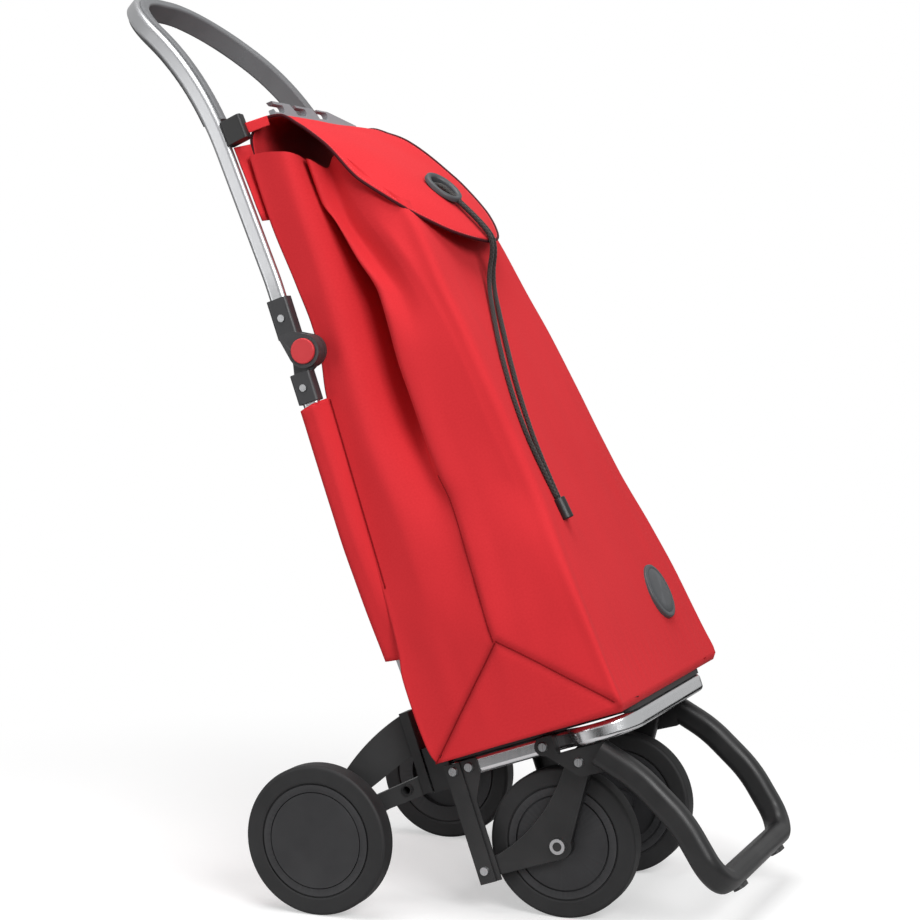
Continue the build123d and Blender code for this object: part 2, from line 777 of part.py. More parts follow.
def flank_points(h, inset):
    """Back edge, fold and front edge of a side panel at h, drawn in by inset."""
    back = bag_back_b - cloth - 2 * face_gap
    front = bag_front_b(h) + cloth + 2 * face_gap
    rise = max(0, (h - fold_h) / (side_top - fold_h))
    fold_b = fold_low_b + (fold_top_b - fold_low_b) * rise
    share = (fold_b - back) / (front - back)
    flat = back_half(h) + (front_half(h) - back_half(h)) * share
    fold_half = flat - fold_least - fold_depth * rise
    return (back_half(h) - inset, back), (fold_half - inset, fold_b), (front_half(h) - inset, front)


def bag_plate(ends, flanks, low, high):
    """Level plate inside the bag, drawn in from its faces at the ends and flanks."""
    back = bag_back_b - ends
    front = bag_front_b(high) + ends
    with BuildPart() as plate:
        with BuildSketch(level(low)):
            with BuildLine():
                Polyline((-back_half(high) + flanks, back), (back_half(high) - flanks, back),
                         (front_half(high) - flanks, front), (-front_half(high) + flanks, front), close=True)
            make_face()
        extrude(amount=high - low)
    return plate.part


mouth = Plane(origin=at(0, bag_back_b, bag_back_top), x_dir=(1, 0, 0),
              z_dir=to_frame(bag_front_top_h - bag_back_top, bag_back_b - bag_front_top_b))
front_face = Plane(origin=at(0, bag_front_low_b, bag_low_h), x_dir=(1, 0, 0), z_dir=to_frame(-1, front_slope))
front_run = hypot(1, front_slope)
floor_top = bag_floor_h + cloth

with BuildPart() as bag_back:
    with BuildSketch(facing(bag_back_b)):
        Polygon((-back_half(bag_floor_h), bag_floor_h), (back_half(bag_floor_h), bag_floor_h),
                (bag_half_top, bag_back_top), (-bag_half_top, bag_back_top), align=None)
    extrude(amount=cloth)
keep(bag_back, "bag_back")

with BuildPart() as bag_front:
    with BuildSketch(front_face):
        low_run = (bag_floor_h - bag_low_h) * front_run
        high_run = (bag_front_top_h - bag_low_h) * front_run
        Polygon((-front_half(bag_floor_h), low_run), (front_half(bag_floor_h), low_run),
                (bag_front_top_half, high_run), (-bag_front_top_half, high_run), align=None)
    extrude(amount=-cloth)
keep(bag_front, "bag_front")

for sign, hand in sides:
    with BuildPart() as bag_side:
        for h in (bag_floor_h, fold_h, side_top):
            outline = flank_points(h, 0) + flank_points(h, cloth)[::-1]
            with BuildSketch(level(h)):
                with BuildLine():
                    Polyline(*[(sign * x, b) for x, b in outline], close=True)
                make_face()
        loft(ruled=True)
        split(bisect_by=mouth, keep=Keep.BOTTOM)
    keep(bag_side, "bag_side_" + hand)

with BuildPart() as bag_floor:
    add(bag_plate(cloth + 2 * face_gap, cloth + fold_least + 2 * face_gap, bag_floor_h, floor_top))
keep(bag_floor, "bag_floor")

with BuildPart() as floor_board:
    add(bag_plate(liner_inset, liner_inset, floor_top + face_gap, floor_top + face_gap + liner_thickness))
keep(floor_board, "floor_board")

with BuildPart() as base_board:
    with BuildSketch(level(rail_top + face_gap)):
        board_back = block_front - 2 * face_gap
        board_front = front_bar_b - tube_width / 2
        with Locations((0, (board_back + board_front) / 2)):
            RectangleRounded(2 * (plate_inner - face_gap), board_back - board_front, board_margin)
    extrude(amount=board_thickness)
keep(base_board, "base_board")

# Rear sleeve: a cloth channel behind the bag that the lower tubes pass through
sleeve_high = lower_socket_top - lower_socket_length - sleeve_clear
sleeve_front_b = bag_back_b + face_gap
sleeve_half = frame_half_top + sleeve_spread
diagonal = cos(radians(45))


def sleeve_outline(half, inset):
    """Outline of the sleeve at a half width, drawn in by inset."""
    front = sleeve_front_b + inset
    back = sleeve_back_b - inset
    outer = half - inset
    turn = sleeve_corner - 2 * inset * (1 - diagonal)
    right = [(outer - turn, back), (outer, back - turn), (outer, front + turn), (outer - turn, front)]
    return right + [(-x, b) for x, b in reversed(right)]


with BuildPart() as rear_sleeve:
    for inset, mode in ((0, Mode.ADD), (cloth, Mode.SUBTRACT)):
        for h, half in ((sleeve_low, sleeve_low_half), (sleeve_high, sleeve_half)):
            with BuildSketch(level(h)):
                with BuildLine():
                    Polyline(*sleeve_outline(half, inset), close=True)
                make_face()
        loft(ruled=True, mode=mode)
    with BuildSketch(level(sleeve_low)):
        with Locations((0, sleeve_front_b)):
            Rectangle(2 * sleeve_root_half, 4 * cloth)
    extrude(amount=sleeve_high - sleeve_low, mode=Mode.SUBTRACT)
keep(rear_sleeve, "rear_sleeve")

# Yoke at the rear of the mouth, and the hook rail above it
dome_b = yoke_low_b - yoke_radius
dome_h = crest_h - yoke_radius
yoke_low_h = crest_h - yoke_drop
yoke_inner_radius = yoke_radius - yoke_thickness
with BuildPart() as rear_yoke:
    with BuildSketch(side(-yoke_half)):
        with BuildLine():
            ThreePointArc((yoke_low_b, dome_h), (dome_b + yoke_radius * diagonal, dome_h + yoke_radius * diagonal),
                          (dome_b, crest_h))
            Polyline((dome_b, crest_h), (crest_b, crest_h), (crest_b, crest_h - yoke_thickness),
                     (dome_b, crest_h - yoke_thickness))
            ThreePointArc((dome_b, crest_h - yoke_thickness),
                          (dome_b + yoke_inner_radius * diagonal, dome_h + yoke_inner_radius * diagonal),
                          (yoke_low_b - yoke_thickness, dome_h))
            Polyline((yoke_low_b - yoke_thickness, dome_h), (yoke_low_b - yoke_thickness, yoke_low_h),
                     (yoke_low_b, yoke_low_h), (yoke_low_b, dome_h))
        make_face()
    extrude(amount=2 * yoke_half)
keep(rear_yoke, "rear_yoke")

hook_low = crest_h + face_gap
hook_top = hook_low + hook_height
with BuildPart() as hook_rail:
    with BuildSketch(facing(hook_back_b)):
        Polygon((hook_near, hook_low), (hook_far, hook_low), (hook_far, hook_low + hook_tail),
                (hook_shoulder, hook_top - hook_drop), (hook_near, hook_top), align=None)
        for place in range(hook_count):
            slot_x = hook_first + hook_pitch * place
            slot_end = slot_x - (hook_slot_length - hook_slot_width) / 2
            mouth_reach = (hook_mouth_length - hook_mouth_width) / 2
            mouth_x = slot_end - mouth_reach * cos(radians(hook_mouth_turn))
            mouth_h = hook_low + hook_slot_rise + mouth_reach * sin(radians(hook_mouth_turn))
            with Locations((slot_x, hook_low + hook_slot_rise)):
                SlotOverall(hook_slot_length, hook_slot_width, mode=Mode.SUBTRACT)
            with Locations((mouth_x, mouth_h)):
                SlotOverall(hook_mouth_length, hook_mouth_width, rotation=-hook_mouth_turn, mode=Mode.SUBTRACT)
    extrude(amount=hook_depth)
keep(hook_rail, "hook_rail")

# Flap: a bowed tongue hinged at the crest, with an oval eyelet
flap_start_b = crest_b - flap_hinge_gap
flap_length = hypot(flap_tip_b - flap_start_b, flap_tip_h - crest_h)
along_b = (flap_tip_b - flap_start_b) / flap_length
along_h = (flap_tip_h - crest_h) / flap_length


def flap_point(along, rise):
    """Point (b, h) above the outer face of the bowed flap."""
    bow = flap_bulge * (1 - (2 * along / flap_length - 1) ** 2)
    lift = bow + rise
    return flap_start_b + along_b * along + along_h * lift, crest_h + along_h * along - along_b * lift


flap_plane = Plane(origin=at(0, flap_start_b, crest_h), x_dir=(1, 0, 0), z_dir=to_frame(-along_h, along_b))
eyelet_b, eyelet_h = flap_point(eyelet_along, face_gap)
rear_b, rear_h = flap_point(eyelet_along - eyelet_length / 2, 0)
fore_b, fore_h = flap_point(eyelet_along + eyelet_length / 2, 0)
eyelet_hole_length = eyelet_length - 2 * eyelet_rim
eyelet_hole_width = eyelet_width - 2 * eyelet_rim
eyelet_up = to_frame(fore_h - rear_h, rear_b - fore_b)
eyelet_plane = Plane(origin=at(0, eyelet_b, eyelet_h), x_dir=(1, 0, 0), z_dir=eyelet_up)
with BuildPart() as flap:
    with BuildSketch(side(-flap_half)):
        with BuildLine():
            ThreePointArc(flap_point(0, 0), flap_point(flap_length / 2, 0), flap_point(flap_length, 0))
            Line(flap_point(flap_length, 0), flap_point(flap_length, -flap_thickness))
            ThreePointArc(flap_point(flap_length, -flap_thickness), flap_point(flap_length / 2, -flap_thickness),
                          flap_point(0, -flap_thickness))
            Line(flap_point(0, -flap_thickness), flap_point(0, 0))
        make_face()
    extrude(amount=2 * flap_half)
    with BuildSketch(flap_plane):
        with BuildLine():
            Polyline((-flap_tip_half, flap_length - flap_tip_radius), (-flap_half, -flap_thickness),
                     (flap_half, -flap_thickness), (flap_tip_half, flap_length - flap_tip_radius))
            ThreePointArc((flap_tip_half, flap_length - flap_tip_radius), (0, flap_length),
                          (-flap_tip_half, flap_length - flap_tip_radius))
        make_face()
        with Locations((0, eyelet_along)):
            SlotOverall(eyelet_hole_length, eyelet_hole_width, rotation=90, mode=Mode.SUBTRACT)
    extrude(amount=flap_half, both=True, mode=Mode.INTERSECT)
keep(flap, "flap")

with BuildPart() as eyelet:
    with BuildSketch(eyelet_plane):
        SlotOverall(eyelet_length, eyelet_width, rotation=90)
        SlotOverall(eyelet_hole_length, eyelet_hole_width, rotation=90, mode=Mode.SUBTRACT)
    extrude(amount=eyelet_height)
keep(eyelet, "eyelet")


# Doubled drawcord from the eyelet, over the flap and down the front of the bag
def front_point(x, h):
    """Point of the cord in front of the front panel at h."""
    return (x, bag_front_b(h) - cord_stand, h)


def cord_points(shift):
    """Corner points of one strand, moved across by shift."""
    eyelet_out = eyelet_length / 2 - eyelet_rim
    fall = (cord_fall_h - cord_low_h) / cord_steps
    points = []
    for along, rise in ((eyelet_along, -flap_thickness), (eyelet_along + eyelet_out / 2, cord_rise),
                        (eyelet_along + 2 * eyelet_out, cord_rise), (flap_length - eyelet_out, cord_rise),
                        (flap_length + eyelet_out / 2, cord_rise / 2)):
        b, h = flap_point(along, rise)
        points.append((shift, b, h))
    for step in range(cord_steps + 1):
        sideways = cord_drift * sin(radians(cord_swing) * step / cord_steps)
        points.append(front_point(shift + sideways, cord_fall_h - fall * step))
    return points


def tangent_radii(points):
    """Radius of each corner arc, from the shorter run beside it and its turn."""
    radii = []
    for before, here, after in zip(points, points[1:], points[2:]):
        first = Vector(*here) - Vector(*before)
        second = Vector(*after) - Vector(*here)
        turn = acos(max(-1, min(1, first.normalized().dot(second.normalized()))))
        radii.append(cord_turn * min(first.length, second.length) / tan(turn / 2))
    return radii


for sign, hand in sides:
    points = cord_points(sign * cord_spacing / 2)
    with BuildLine(lean) as cord_path:
        FilletPolyline(*points, radius=tangent_radii(points))
    with BuildPart() as drawcord:
        with BuildSketch(Plane(origin=at(*points[0]), z_dir=at(*points[1]) - at(*points[0]))):
            Circle(cord_radius)
        sweep(path=cord_path.wire())
    keep(drawcord, "drawcord_" + hand)

cord_tail = cord_points(0)
tail_line = at(*cord_tail[-1]) - at(*cord_tail[-2])
with BuildPart() as cord_end:
    with BuildSketch(Plane(origin=at(*cord_tail[-1]) + tail_line.normalized() * face_gap, z_dir=tail_line)):
        Circle(cord_end_radius)
    extrude(amount=cord_end_length)
    fillet(cord_end.edges(), button_edge)
keep(cord_end, "cord_end")

# Round badge on the front panel, left plain
with BuildPart() as badge:
    with BuildSketch(front_face.offset(bore_gap)):
        with Locations((badge_x, badge_along)):
            Circle(badge_radius)
    extrude(amount=badge_thickness)
keep(badge, "badge")
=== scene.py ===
"""Dressing of the leaning shopping trolley: soft bag, flap, cord, metalwork, mouldings and studio."""

import json
import logging
import math
from dataclasses import dataclass
from enum import Enum
from typing import Optional, Sequence

import bmesh
import bpy
import numpy as np
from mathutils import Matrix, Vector, noise

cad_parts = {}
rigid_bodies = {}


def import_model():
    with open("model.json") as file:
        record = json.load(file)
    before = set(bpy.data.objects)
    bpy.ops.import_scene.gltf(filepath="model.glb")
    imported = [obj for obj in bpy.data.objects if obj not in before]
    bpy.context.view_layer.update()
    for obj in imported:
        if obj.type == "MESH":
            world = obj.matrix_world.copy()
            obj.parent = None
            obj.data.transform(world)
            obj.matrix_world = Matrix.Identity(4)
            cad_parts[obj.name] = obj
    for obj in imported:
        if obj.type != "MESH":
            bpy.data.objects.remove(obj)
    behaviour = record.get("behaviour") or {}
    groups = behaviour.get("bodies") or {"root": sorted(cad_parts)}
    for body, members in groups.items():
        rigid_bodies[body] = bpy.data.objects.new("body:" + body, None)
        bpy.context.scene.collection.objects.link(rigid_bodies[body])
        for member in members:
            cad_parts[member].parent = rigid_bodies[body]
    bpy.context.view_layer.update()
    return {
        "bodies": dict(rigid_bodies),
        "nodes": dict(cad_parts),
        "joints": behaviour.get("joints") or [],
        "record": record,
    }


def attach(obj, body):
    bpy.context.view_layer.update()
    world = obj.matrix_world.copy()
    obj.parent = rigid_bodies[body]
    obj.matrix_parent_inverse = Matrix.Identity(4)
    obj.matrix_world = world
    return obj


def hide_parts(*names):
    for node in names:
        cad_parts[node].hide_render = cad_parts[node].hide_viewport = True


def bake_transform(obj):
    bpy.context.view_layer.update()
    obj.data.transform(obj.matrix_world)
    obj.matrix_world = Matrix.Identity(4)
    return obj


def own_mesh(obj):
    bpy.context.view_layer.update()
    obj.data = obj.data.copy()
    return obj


LOG = logging.getLogger("trolley")
MM = 0.001
Pair = tuple[float, float]
Point = tuple[float, float, float]
Table = tuple[Pair, ...]
Guide = tuple[Point, ...]

# Kinds of node that come up often. Map Range takes 0 the value, 1 and 2 its range, 3 and 4 the new range;
# Mix takes 0 the share, 6 and 7 the colours, and gives the mixed colour as output 2.
COORDINATES = "ShaderNodeTexCoord"
NOISE = "ShaderNodeTexNoise"
MATHS = "ShaderNodeMath"
RANGE = "ShaderNodeMapRange"
MIX = "ShaderNodeMix"
BUMP = "ShaderNodeBump"


class Hand(Enum):
    """Side of the trolley, with the sign of its x."""

    LEFT = 1
    RIGHT = -1


class Lean:
    """Leaning frame of the bag: x across, b back and h up along the lean, in millimetres."""

    angle = math.radians(19.0)
    corner_y = -46.274
    corner_z = 148.7

    @classmethod
    def array(cls, points: np.ndarray) -> np.ndarray:
        """Turn lean points into the shared frame.

        Args:
            points: Array whose last axis is (x, b, h) in millimetres.

        Returns:
            Array of the same shape in metres.
        """
        x, b, h = points[..., 0], points[..., 1], points[..., 2]
        y = cls.corner_y + b * math.cos(cls.angle) + h * math.sin(cls.angle)
        z = cls.corner_z - b * math.sin(cls.angle) + h * math.cos(cls.angle)
        return np.stack((x, y, z), axis=-1) * MM

    @classmethod
    def at(cls, x: float, b: float, h: float) -> Vector:
        """One lean point in the shared frame, in metres."""
        return Vector(cls.array(np.array((x, b, h), float)))

    @classmethod
    def direction(cls, b: float, h: float) -> Vector:
        """Unit direction (b, h) of the lean in the shared frame."""
        return (cls.at(0, b, h) - cls.at(0, 0, 0)).normalized()


@dataclass(frozen=True)
class Ripple:
    """Soft uneven waves in cloth: waves to the millimetre along x, b and h, depth and start."""

    rate: Point
    depth: float
    start: Point = (0.0, 0.0, 0.0)

    def at(self, *place: float) -> float:
        """Height of the waves at a lean point, in millimetres."""
        return self.depth * noise.noise(Vector([p * r + s for p, r, s in zip(place, self.rate, self.start)]))


def linear(colour: str) -> tuple[float, float, float, float]:
    """Turn an sRGB hex colour into linear values.

    Args:
        colour: Colour as #rrggbb.

    Returns:
        Linear red, green, blue and an alpha of one.
    """
    parts = [int(colour[i:i + 2], 16) / 255 for i in (1, 3, 5)]
    red, green, blue = (p / 12.92 if p <= 0.04045 else ((p + 0.055) / 1.055) ** 2.4 for p in parts)
    return red, green, blue, 1.0


def add_node(tree: bpy.types.NodeTree, kind: str, inputs: Optional[dict] = None, **settings) -> bpy.types.Node:
    """Add a node, set it and link its inputs.

    Args:
        tree: Tree that takes the node.
        kind: Node type.
        inputs: Socket name or index to a value, an output socket, or a node that gives its first output.
        **settings: Properties of the node.

    Returns:
        The new node.
    """
    node = tree.nodes.new(kind)
    for name, value in settings.items():
        setattr(node, name, value)
    for key, value in (inputs or {}).items():
        if isinstance(value, bpy.types.Node):
            value = value.outputs[0]
        if isinstance(value, bpy.types.NodeSocket):
            tree.links.new(value, node.inputs[key])
        else:
            node.inputs[key].default_value = value
    return node


@dataclass(frozen=True)
class Finish:
    """A surface finish that makes one material."""

    name: str
    colour: str
    roughness: float

    def shader(self, tree: bpy.types.NodeTree) -> dict:
        """Inputs of the shader for this finish, by socket name."""
        return {"Base Color": linear(self.colour), "Roughness": self.roughness}

    def uneven(self, tree: bpy.types.NodeTree, where: object, ends: Pair, change: Pair) -> bpy.types.Node:
        """Roughness that changes over the surface.

        Args:
            tree: Tree that takes the node.
            where: Node or socket of a pattern.
            ends: Values of the pattern at the smoothest and the roughest places.
            change: How far the roughness falls and rises there.

        Returns:
            The node that gives the roughness.
        """
        return add_node(tree, RANGE, {0: where, 1: ends[0], 2: ends[1], 3: self.roughness - change[0],
                                      4: self.roughness + change[1]})

    def material(self) -> bpy.types.Material:
        """Material of this finish, made once."""
        found = bpy.data.materials.get(self.name)
        if found:
            return found
        made = bpy.data.materials.new(self.name)
        made.use_nodes = True
        tree = made.node_tree
        tree.nodes.clear()
        surface = add_node(tree, "ShaderNodeBsdfPrincipled", self.shader(tree))
        add_node(tree, "ShaderNodeOutputMaterial", {"Surface": surface})
        made.diffuse_color = linear(self.colour)
        return made


@dataclass(frozen=True)
class Cloth(Finish):
    """Woven polyester: plain weave, soft mottling, and painted shade that darkens the seam and crease grooves along
    an attribute.
    """

    shade: str = "#a81218"
    # Painted shade of the seam and crease grooves, and the greatest share of it.
    seam_painted_shade: str = "#4a0508"
    seam_shade_share: float = 0.4
    # The real thread pitch is about 0.6 mm; it is drawn at 2.2 mm so that it does not shimmer at picture size.
    thread: float = 2.2
    # Slubs are thick places in the yarn, clouds a slow change of tone; both about as long as in real cloth.
    slub: float = 2.381
    cloud: float = 111.1
    mottling: float = 0.16
    weave: float = 0.08
    weave_height: float = 0.6
    sheen: float = 0.02

    def shader(self, tree: bpy.types.NodeTree) -> dict:
        """Weave bump, mottled colour and painted shade in the seam grooves."""
        uv = add_node(tree, COORDINATES).outputs["UV"]
        # A wave texture of scale 1 repeats every 2 pi / 20.
        period = 2 * math.pi / 20 / (self.thread * MM)
        bands = [add_node(tree, "ShaderNodeTexWave", {"Vector": uv, "Scale": period, "Distortion": 0.6},
                          bands_direction=axis).outputs["Fac"] for axis in ("X", "Y")]
        threads = add_node(tree, MATHS, {0: bands[0], 1: bands[1]}, operation="MULTIPLY")
        slub, cloud = (add_node(tree, NOISE, {"Vector": uv, "Scale": 1 / (length * MM),
                                              "Detail": detail}).outputs["Fac"]
                       for length, detail in ((self.slub, 3.0), (self.cloud, 2.0)))

        def summed(first: object, first_share: float, second: object, second_share: float) -> bpy.types.Node:
            """Sum of two patterns, each by its share."""
            shares = [add_node(tree, MATHS, {0: pattern, 1: share}, operation="MULTIPLY")
                      for pattern, share in ((first, first_share), (second, second_share))]
            return add_node(tree, MATHS, {0: shares[0], 1: shares[1]}, operation="ADD")

        spread = add_node(tree, RANGE, {0: summed(slub, 0.35, cloud, 0.25), 1: 0.2, 2: 0.4, 3: 0.0, 4: self.mottling})
        body = add_node(tree, MIX, {0: spread, 6: linear(self.colour), 7: linear(self.shade)}, data_type="RGBA")
        # Painted shade: the seam attribute darkens the cloth along the seam grooves and the pressed crease.
        seam = add_node(tree, "ShaderNodeAttribute", attribute_name="seam").outputs["Fac"]
        sewn = add_node(tree, MATHS, {0: seam, 1: self.seam_shade_share}, operation="MULTIPLY")
        dark = add_node(tree, MIX, {0: sewn, 6: body.outputs[2], 7: linear(self.seam_painted_shade)}, data_type="RGBA")
        bump = add_node(tree, BUMP, {"Height": summed(threads, 0.35, slub, 0.6), "Strength": self.weave,
                                     "Distance": self.weave_height * MM})
        return {"Base Color": dark.outputs[2], "Roughness": self.uneven(tree, slub, (0.3, 0.7), (0.06, 0.06)),
                "Normal": bump, "Sheen Weight": self.sheen, "Sheen Roughness": 0.5, "Specular IOR Level": 0.1}


@dataclass(frozen=True)
class Moulding(Finish):
    """Moulded plastic or rubber: fine spark-eroded grain, and paler edges that are partly scuffs and partly painted
    highlight.
    """

    # The real grain is about 0.3 mm across; it is drawn at 1 mm.
    grain: float = 1.0
    grain_height: float = 0.4
    relief: float = 0.1
    # Slow change of tone and gloss.
    cloud: float = 45.45
    cloud_share: float = 0.12
    # Share of the paler colour on the edges, partly scuffs and partly painted highlight, and the pointiness at which
    # it starts and is full.
    scuff_and_highlight: float = 0.25
    edges: Pair = (0.53, 0.62)
    specular: float = 0.4

    def shader(self, tree: bpy.types.NodeTree) -> dict:
        """Grain bump, uneven gloss, and paler edges of scuffs and painted highlight."""
        here = add_node(tree, COORDINATES).outputs["Object"]
        fine, broad = (add_node(tree, NOISE, {"Vector": here, "Scale": 1 / (length * MM),
                                              "Detail": detail}).outputs["Fac"]
                       for length, detail in ((self.grain, 2.0), (self.cloud, 3.0)))
        edge = add_node(tree, "ShaderNodeNewGeometry").outputs["Pointiness"]
        # Painted highlight: pointiness makes the sharp convex edges paler, together with their scuffs.
        scuff_and_highlight_share = add_node(tree, RANGE, {0: edge, 1: self.edges[0], 2: self.edges[1], 3: 0.0, 4: self.scuff_and_highlight})
        cloud = add_node(tree, RANGE, {0: broad, 1: 0.35, 2: 0.7, 3: 0.0, 4: self.cloud_share})
        share = add_node(tree, MATHS, {0: scuff_and_highlight_share, 1: cloud}, operation="ADD")
        pale = tuple(min(1.0, 0.06 + c * 1.9) for c in linear(self.colour)[:3]) + (1.0,)
        tint = add_node(tree, MIX, {0: share, 6: linear(self.colour), 7: pale}, data_type="RGBA")
        bump = add_node(tree, BUMP, {"Height": fine, "Strength": self.relief, "Distance": self.grain_height * MM})
        return {"Base Color": tint.outputs[2], "Roughness": self.uneven(tree, broad, (0.3, 0.7), (0.05, 0.07)),
                "Normal": bump, "Specular IOR Level": self.specular}


@dataclass(frozen=True)
class Metal(Finish):
    """Bare metal, drawn along the lean, with faint streaks."""

    streak: float = 0.08
    # The real drawing marks are about 0.2 mm wide; they are drawn about 1.1 mm wide and 62 mm long.
    mark_width: float = 1.111
    mark_length: float = 62.5
    smudge: float = 33.33

    def shader(self, tree: bpy.types.NodeTree) -> dict:
        """Streaked gloss over a metal."""
        here = add_node(tree, COORDINATES).outputs["Object"]
        scale = [1 / (length * MM) for length in (self.mark_width, self.mark_width, self.mark_length)]
        turned = add_node(tree, "ShaderNodeMapping", {"Vector": here, "Rotation": (Lean.angle, 0.0, 0.0),
                                                      "Scale": scale})
        lines = add_node(tree, NOISE, {"Vector": turned, "Scale": 1.0, "Detail": 3.0}).outputs["Fac"]
        smudge = add_node(tree, NOISE, {"Vector": here, "Scale": 1 / (self.smudge * MM),
                                        "Detail": 2.0}).outputs["Fac"]
        shares = [add_node(tree, MATHS, {0: pattern, 1: share}, operation="MULTIPLY")
                  for pattern, share in ((lines, 0.7), (smudge, 0.3))]
        mixed = add_node(tree, MATHS, {0: shares[0], 1: shares[1]}, operation="ADD")
        return {"Base Color": linear(self.colour), "Metallic": 1.0,
                "Roughness": self.uneven(tree, mixed, (0.35, 0.65), (self.streak, self.streak))}


@dataclass(frozen=True)
class Braid(Finish):
    """Braided cord: two crossing sets of yarns round the tube."""

    # Painted highlight: the raised crowns of the yarns are paler than the hollows.
    crown_highlight: str = "#3b3432"
    yarns: float = 4.0
    # Real yarns repeat about every 3 mm along the cord; they are drawn every 5 mm.
    repeat: float = 5.0
    yarn_height: float = 0.8

    def shader(self, tree: bpy.types.NodeTree) -> dict:
        """Crossed yarn relief from the tube's own coordinates, with painted highlight on the yarn crowns."""
        uv = add_node(tree, COORDINATES).outputs["UV"]
        split = add_node(tree, "ShaderNodeSeparateXYZ", {0: uv}).outputs
        along = add_node(tree, MATHS, {0: split[0], 1: 2 * math.pi / (self.repeat * MM)}, operation="MULTIPLY")
        turn = add_node(tree, MATHS, {0: split[1], 1: 2 * math.pi * self.yarns}, operation="MULTIPLY")
        crossings = [add_node(tree, MATHS, {0: along, 1: turn}, operation=way) for way in ("ADD", "SUBTRACT")]
        waves = [add_node(tree, MATHS, {0: crossing}, operation="SINE") for crossing in crossings]
        yarn = add_node(tree, MATHS, {0: waves[0], 1: waves[1]}, operation="MAXIMUM")
        share = add_node(tree, MATHS, {0: yarn, 1: 0.5}, operation="MULTIPLY")
        # Painted highlight: paler colour where the yarns stand highest.
        tint = add_node(tree, MIX, {0: share, 6: linear(self.colour), 7: linear(self.crown_highlight)}, data_type="RGBA")
        bump = add_node(tree, BUMP, {"Height": yarn, "Strength": 0.5, "Distance": self.yarn_height * MM})
        return {"Base Color": tint.outputs[2], "Roughness": self.roughness, "Normal": bump, "Sheen Weight": 0.15}


class Finishes:
    """Every finish of the trolley, with what the real material gives the eye."""

    # Woven polyester of the bag, flap, sleeve and strips: matt red with a fine, even weave.
    cloth = Cloth("red_polyester", "#d73238", 0.8)
    # Coated polyester lining inside the bag: black, a little smoother than the outside.
    lining = Cloth("black_lining", "#1a1718", 0.7, shade="#0d0c0c", sheen=0.05)
    # Polyester tape folded round the edge of the flap: a thin, dark maroon line.
    binding = Cloth("maroon_binding", "#4b1a20", 0.7, shade="#2a0d11", thread=1.6)
    # Corded welts sewn into the bottom corners of the bag: fine lines, darker than the cloth as painted shade of the
    # seam grooves; the one laid along the pressed crease is painted shade alone.
    welt_painted_shade = Cloth("red_welt_painted_shade", "#8a1218", 0.8, shade="#6a0c12", thread=1.2)
    # Polyester sewing thread: paler than the cloth, so that each stitch shows.
    thread = Cloth("sewing_thread", "#e0646a", 0.6, shade="#c8484e", thread=0.8, weave=0.05)
    # Braided polyester cord: black, its shine broken up by the crossed yarns, with painted highlight on their crowns.
    cord = Braid("black_braid", "#171312", 0.75)
    # Anodised aluminium of the handle and lower tubes: pale satin with faint streaks along the tube.
    tube = Metal("anodised_aluminium", "#c2c3c5", 0.36, streak=0.02)
    # Chromed steel of the base loop: bright, with clear reflections.
    chrome = Metal("chromed_steel", "#e2e3e5", 0.22, streak=0.04)
    # Zinc-plated rivets, pins and rings: pale and a little dull.
    zinc = Metal("bright_zinc", "#c2c3c5", 0.3, streak=0.05)
    # Glass-filled nylon of the arms, foot bar, corner blocks, clips and cord end: satin black, with paler edges that
    # are partly scuffs and partly painted highlight.
    nylon = Moulding("black_nylon", "#171718", 0.42, scuff_and_highlight=0.35, specular=0.5)
    # Glass-filled nylon of the folding joints: satin dark grey.
    joint = Moulding("dark_nylon", "#343436", 0.44, scuff_and_highlight=0.3, specular=0.5)
    # Powder coat on the pressed steel struts, gussets and axles: black with a slight orange peel.
    paint = Moulding("black_powder_coat", "#131314", 0.38, grain=1.4, relief=0.14)
    # Solid tyre of moulded rubber: dull dark grey.
    tyre = Moulding("grey_tyre", "#1f1f20", 0.62, relief=0.14, scuff_and_highlight=0.12)
    # Polypropylene of the wheel discs and covers: dark grey, half matt.
    disc = Moulding("grey_polypropylene", "#222224", 0.5, scuff_and_highlight=0.18)
    # Soft-touch rubber of the grip: mid grey without shine.
    grip = Moulding("soft_touch_grip", "#68696b", 0.6, relief=0.12, scuff_and_highlight=0.1)
    # Moulded acetal of the hook rail: mid grey, half gloss.
    grey = Moulding("grey_acetal", "#84878b", 0.42, scuff_and_highlight=0.2)
    # Moulded acetal of the badge and eyelet: dark grey, half gloss.
    slate = Moulding("slate_acetal", "#47494c", 0.45, scuff_and_highlight=0.2)
    # Moulded button of the folding joint: gloss red.
    button = Moulding("red_button", "#d2363c", 0.38, relief=0.04, scuff_and_highlight=0.08)
    # Polypropylene boards in and under the bag: black, half matt.
    board = Moulding("black_board", "#262627", 0.6)


def add_object(name: str, data: bpy.types.ID) -> bpy.types.Object:
    """New object of the given data, linked to the scene."""
    made = bpy.data.objects.new(name, data)
    bpy.context.scene.collection.objects.link(made)
    return made


def smooth(mesh: bpy.types.Mesh) -> None:
    """Shade every face of a mesh smooth."""
    mesh.polygons.foreach_set("use_smooth", [True] * len(mesh.polygons))


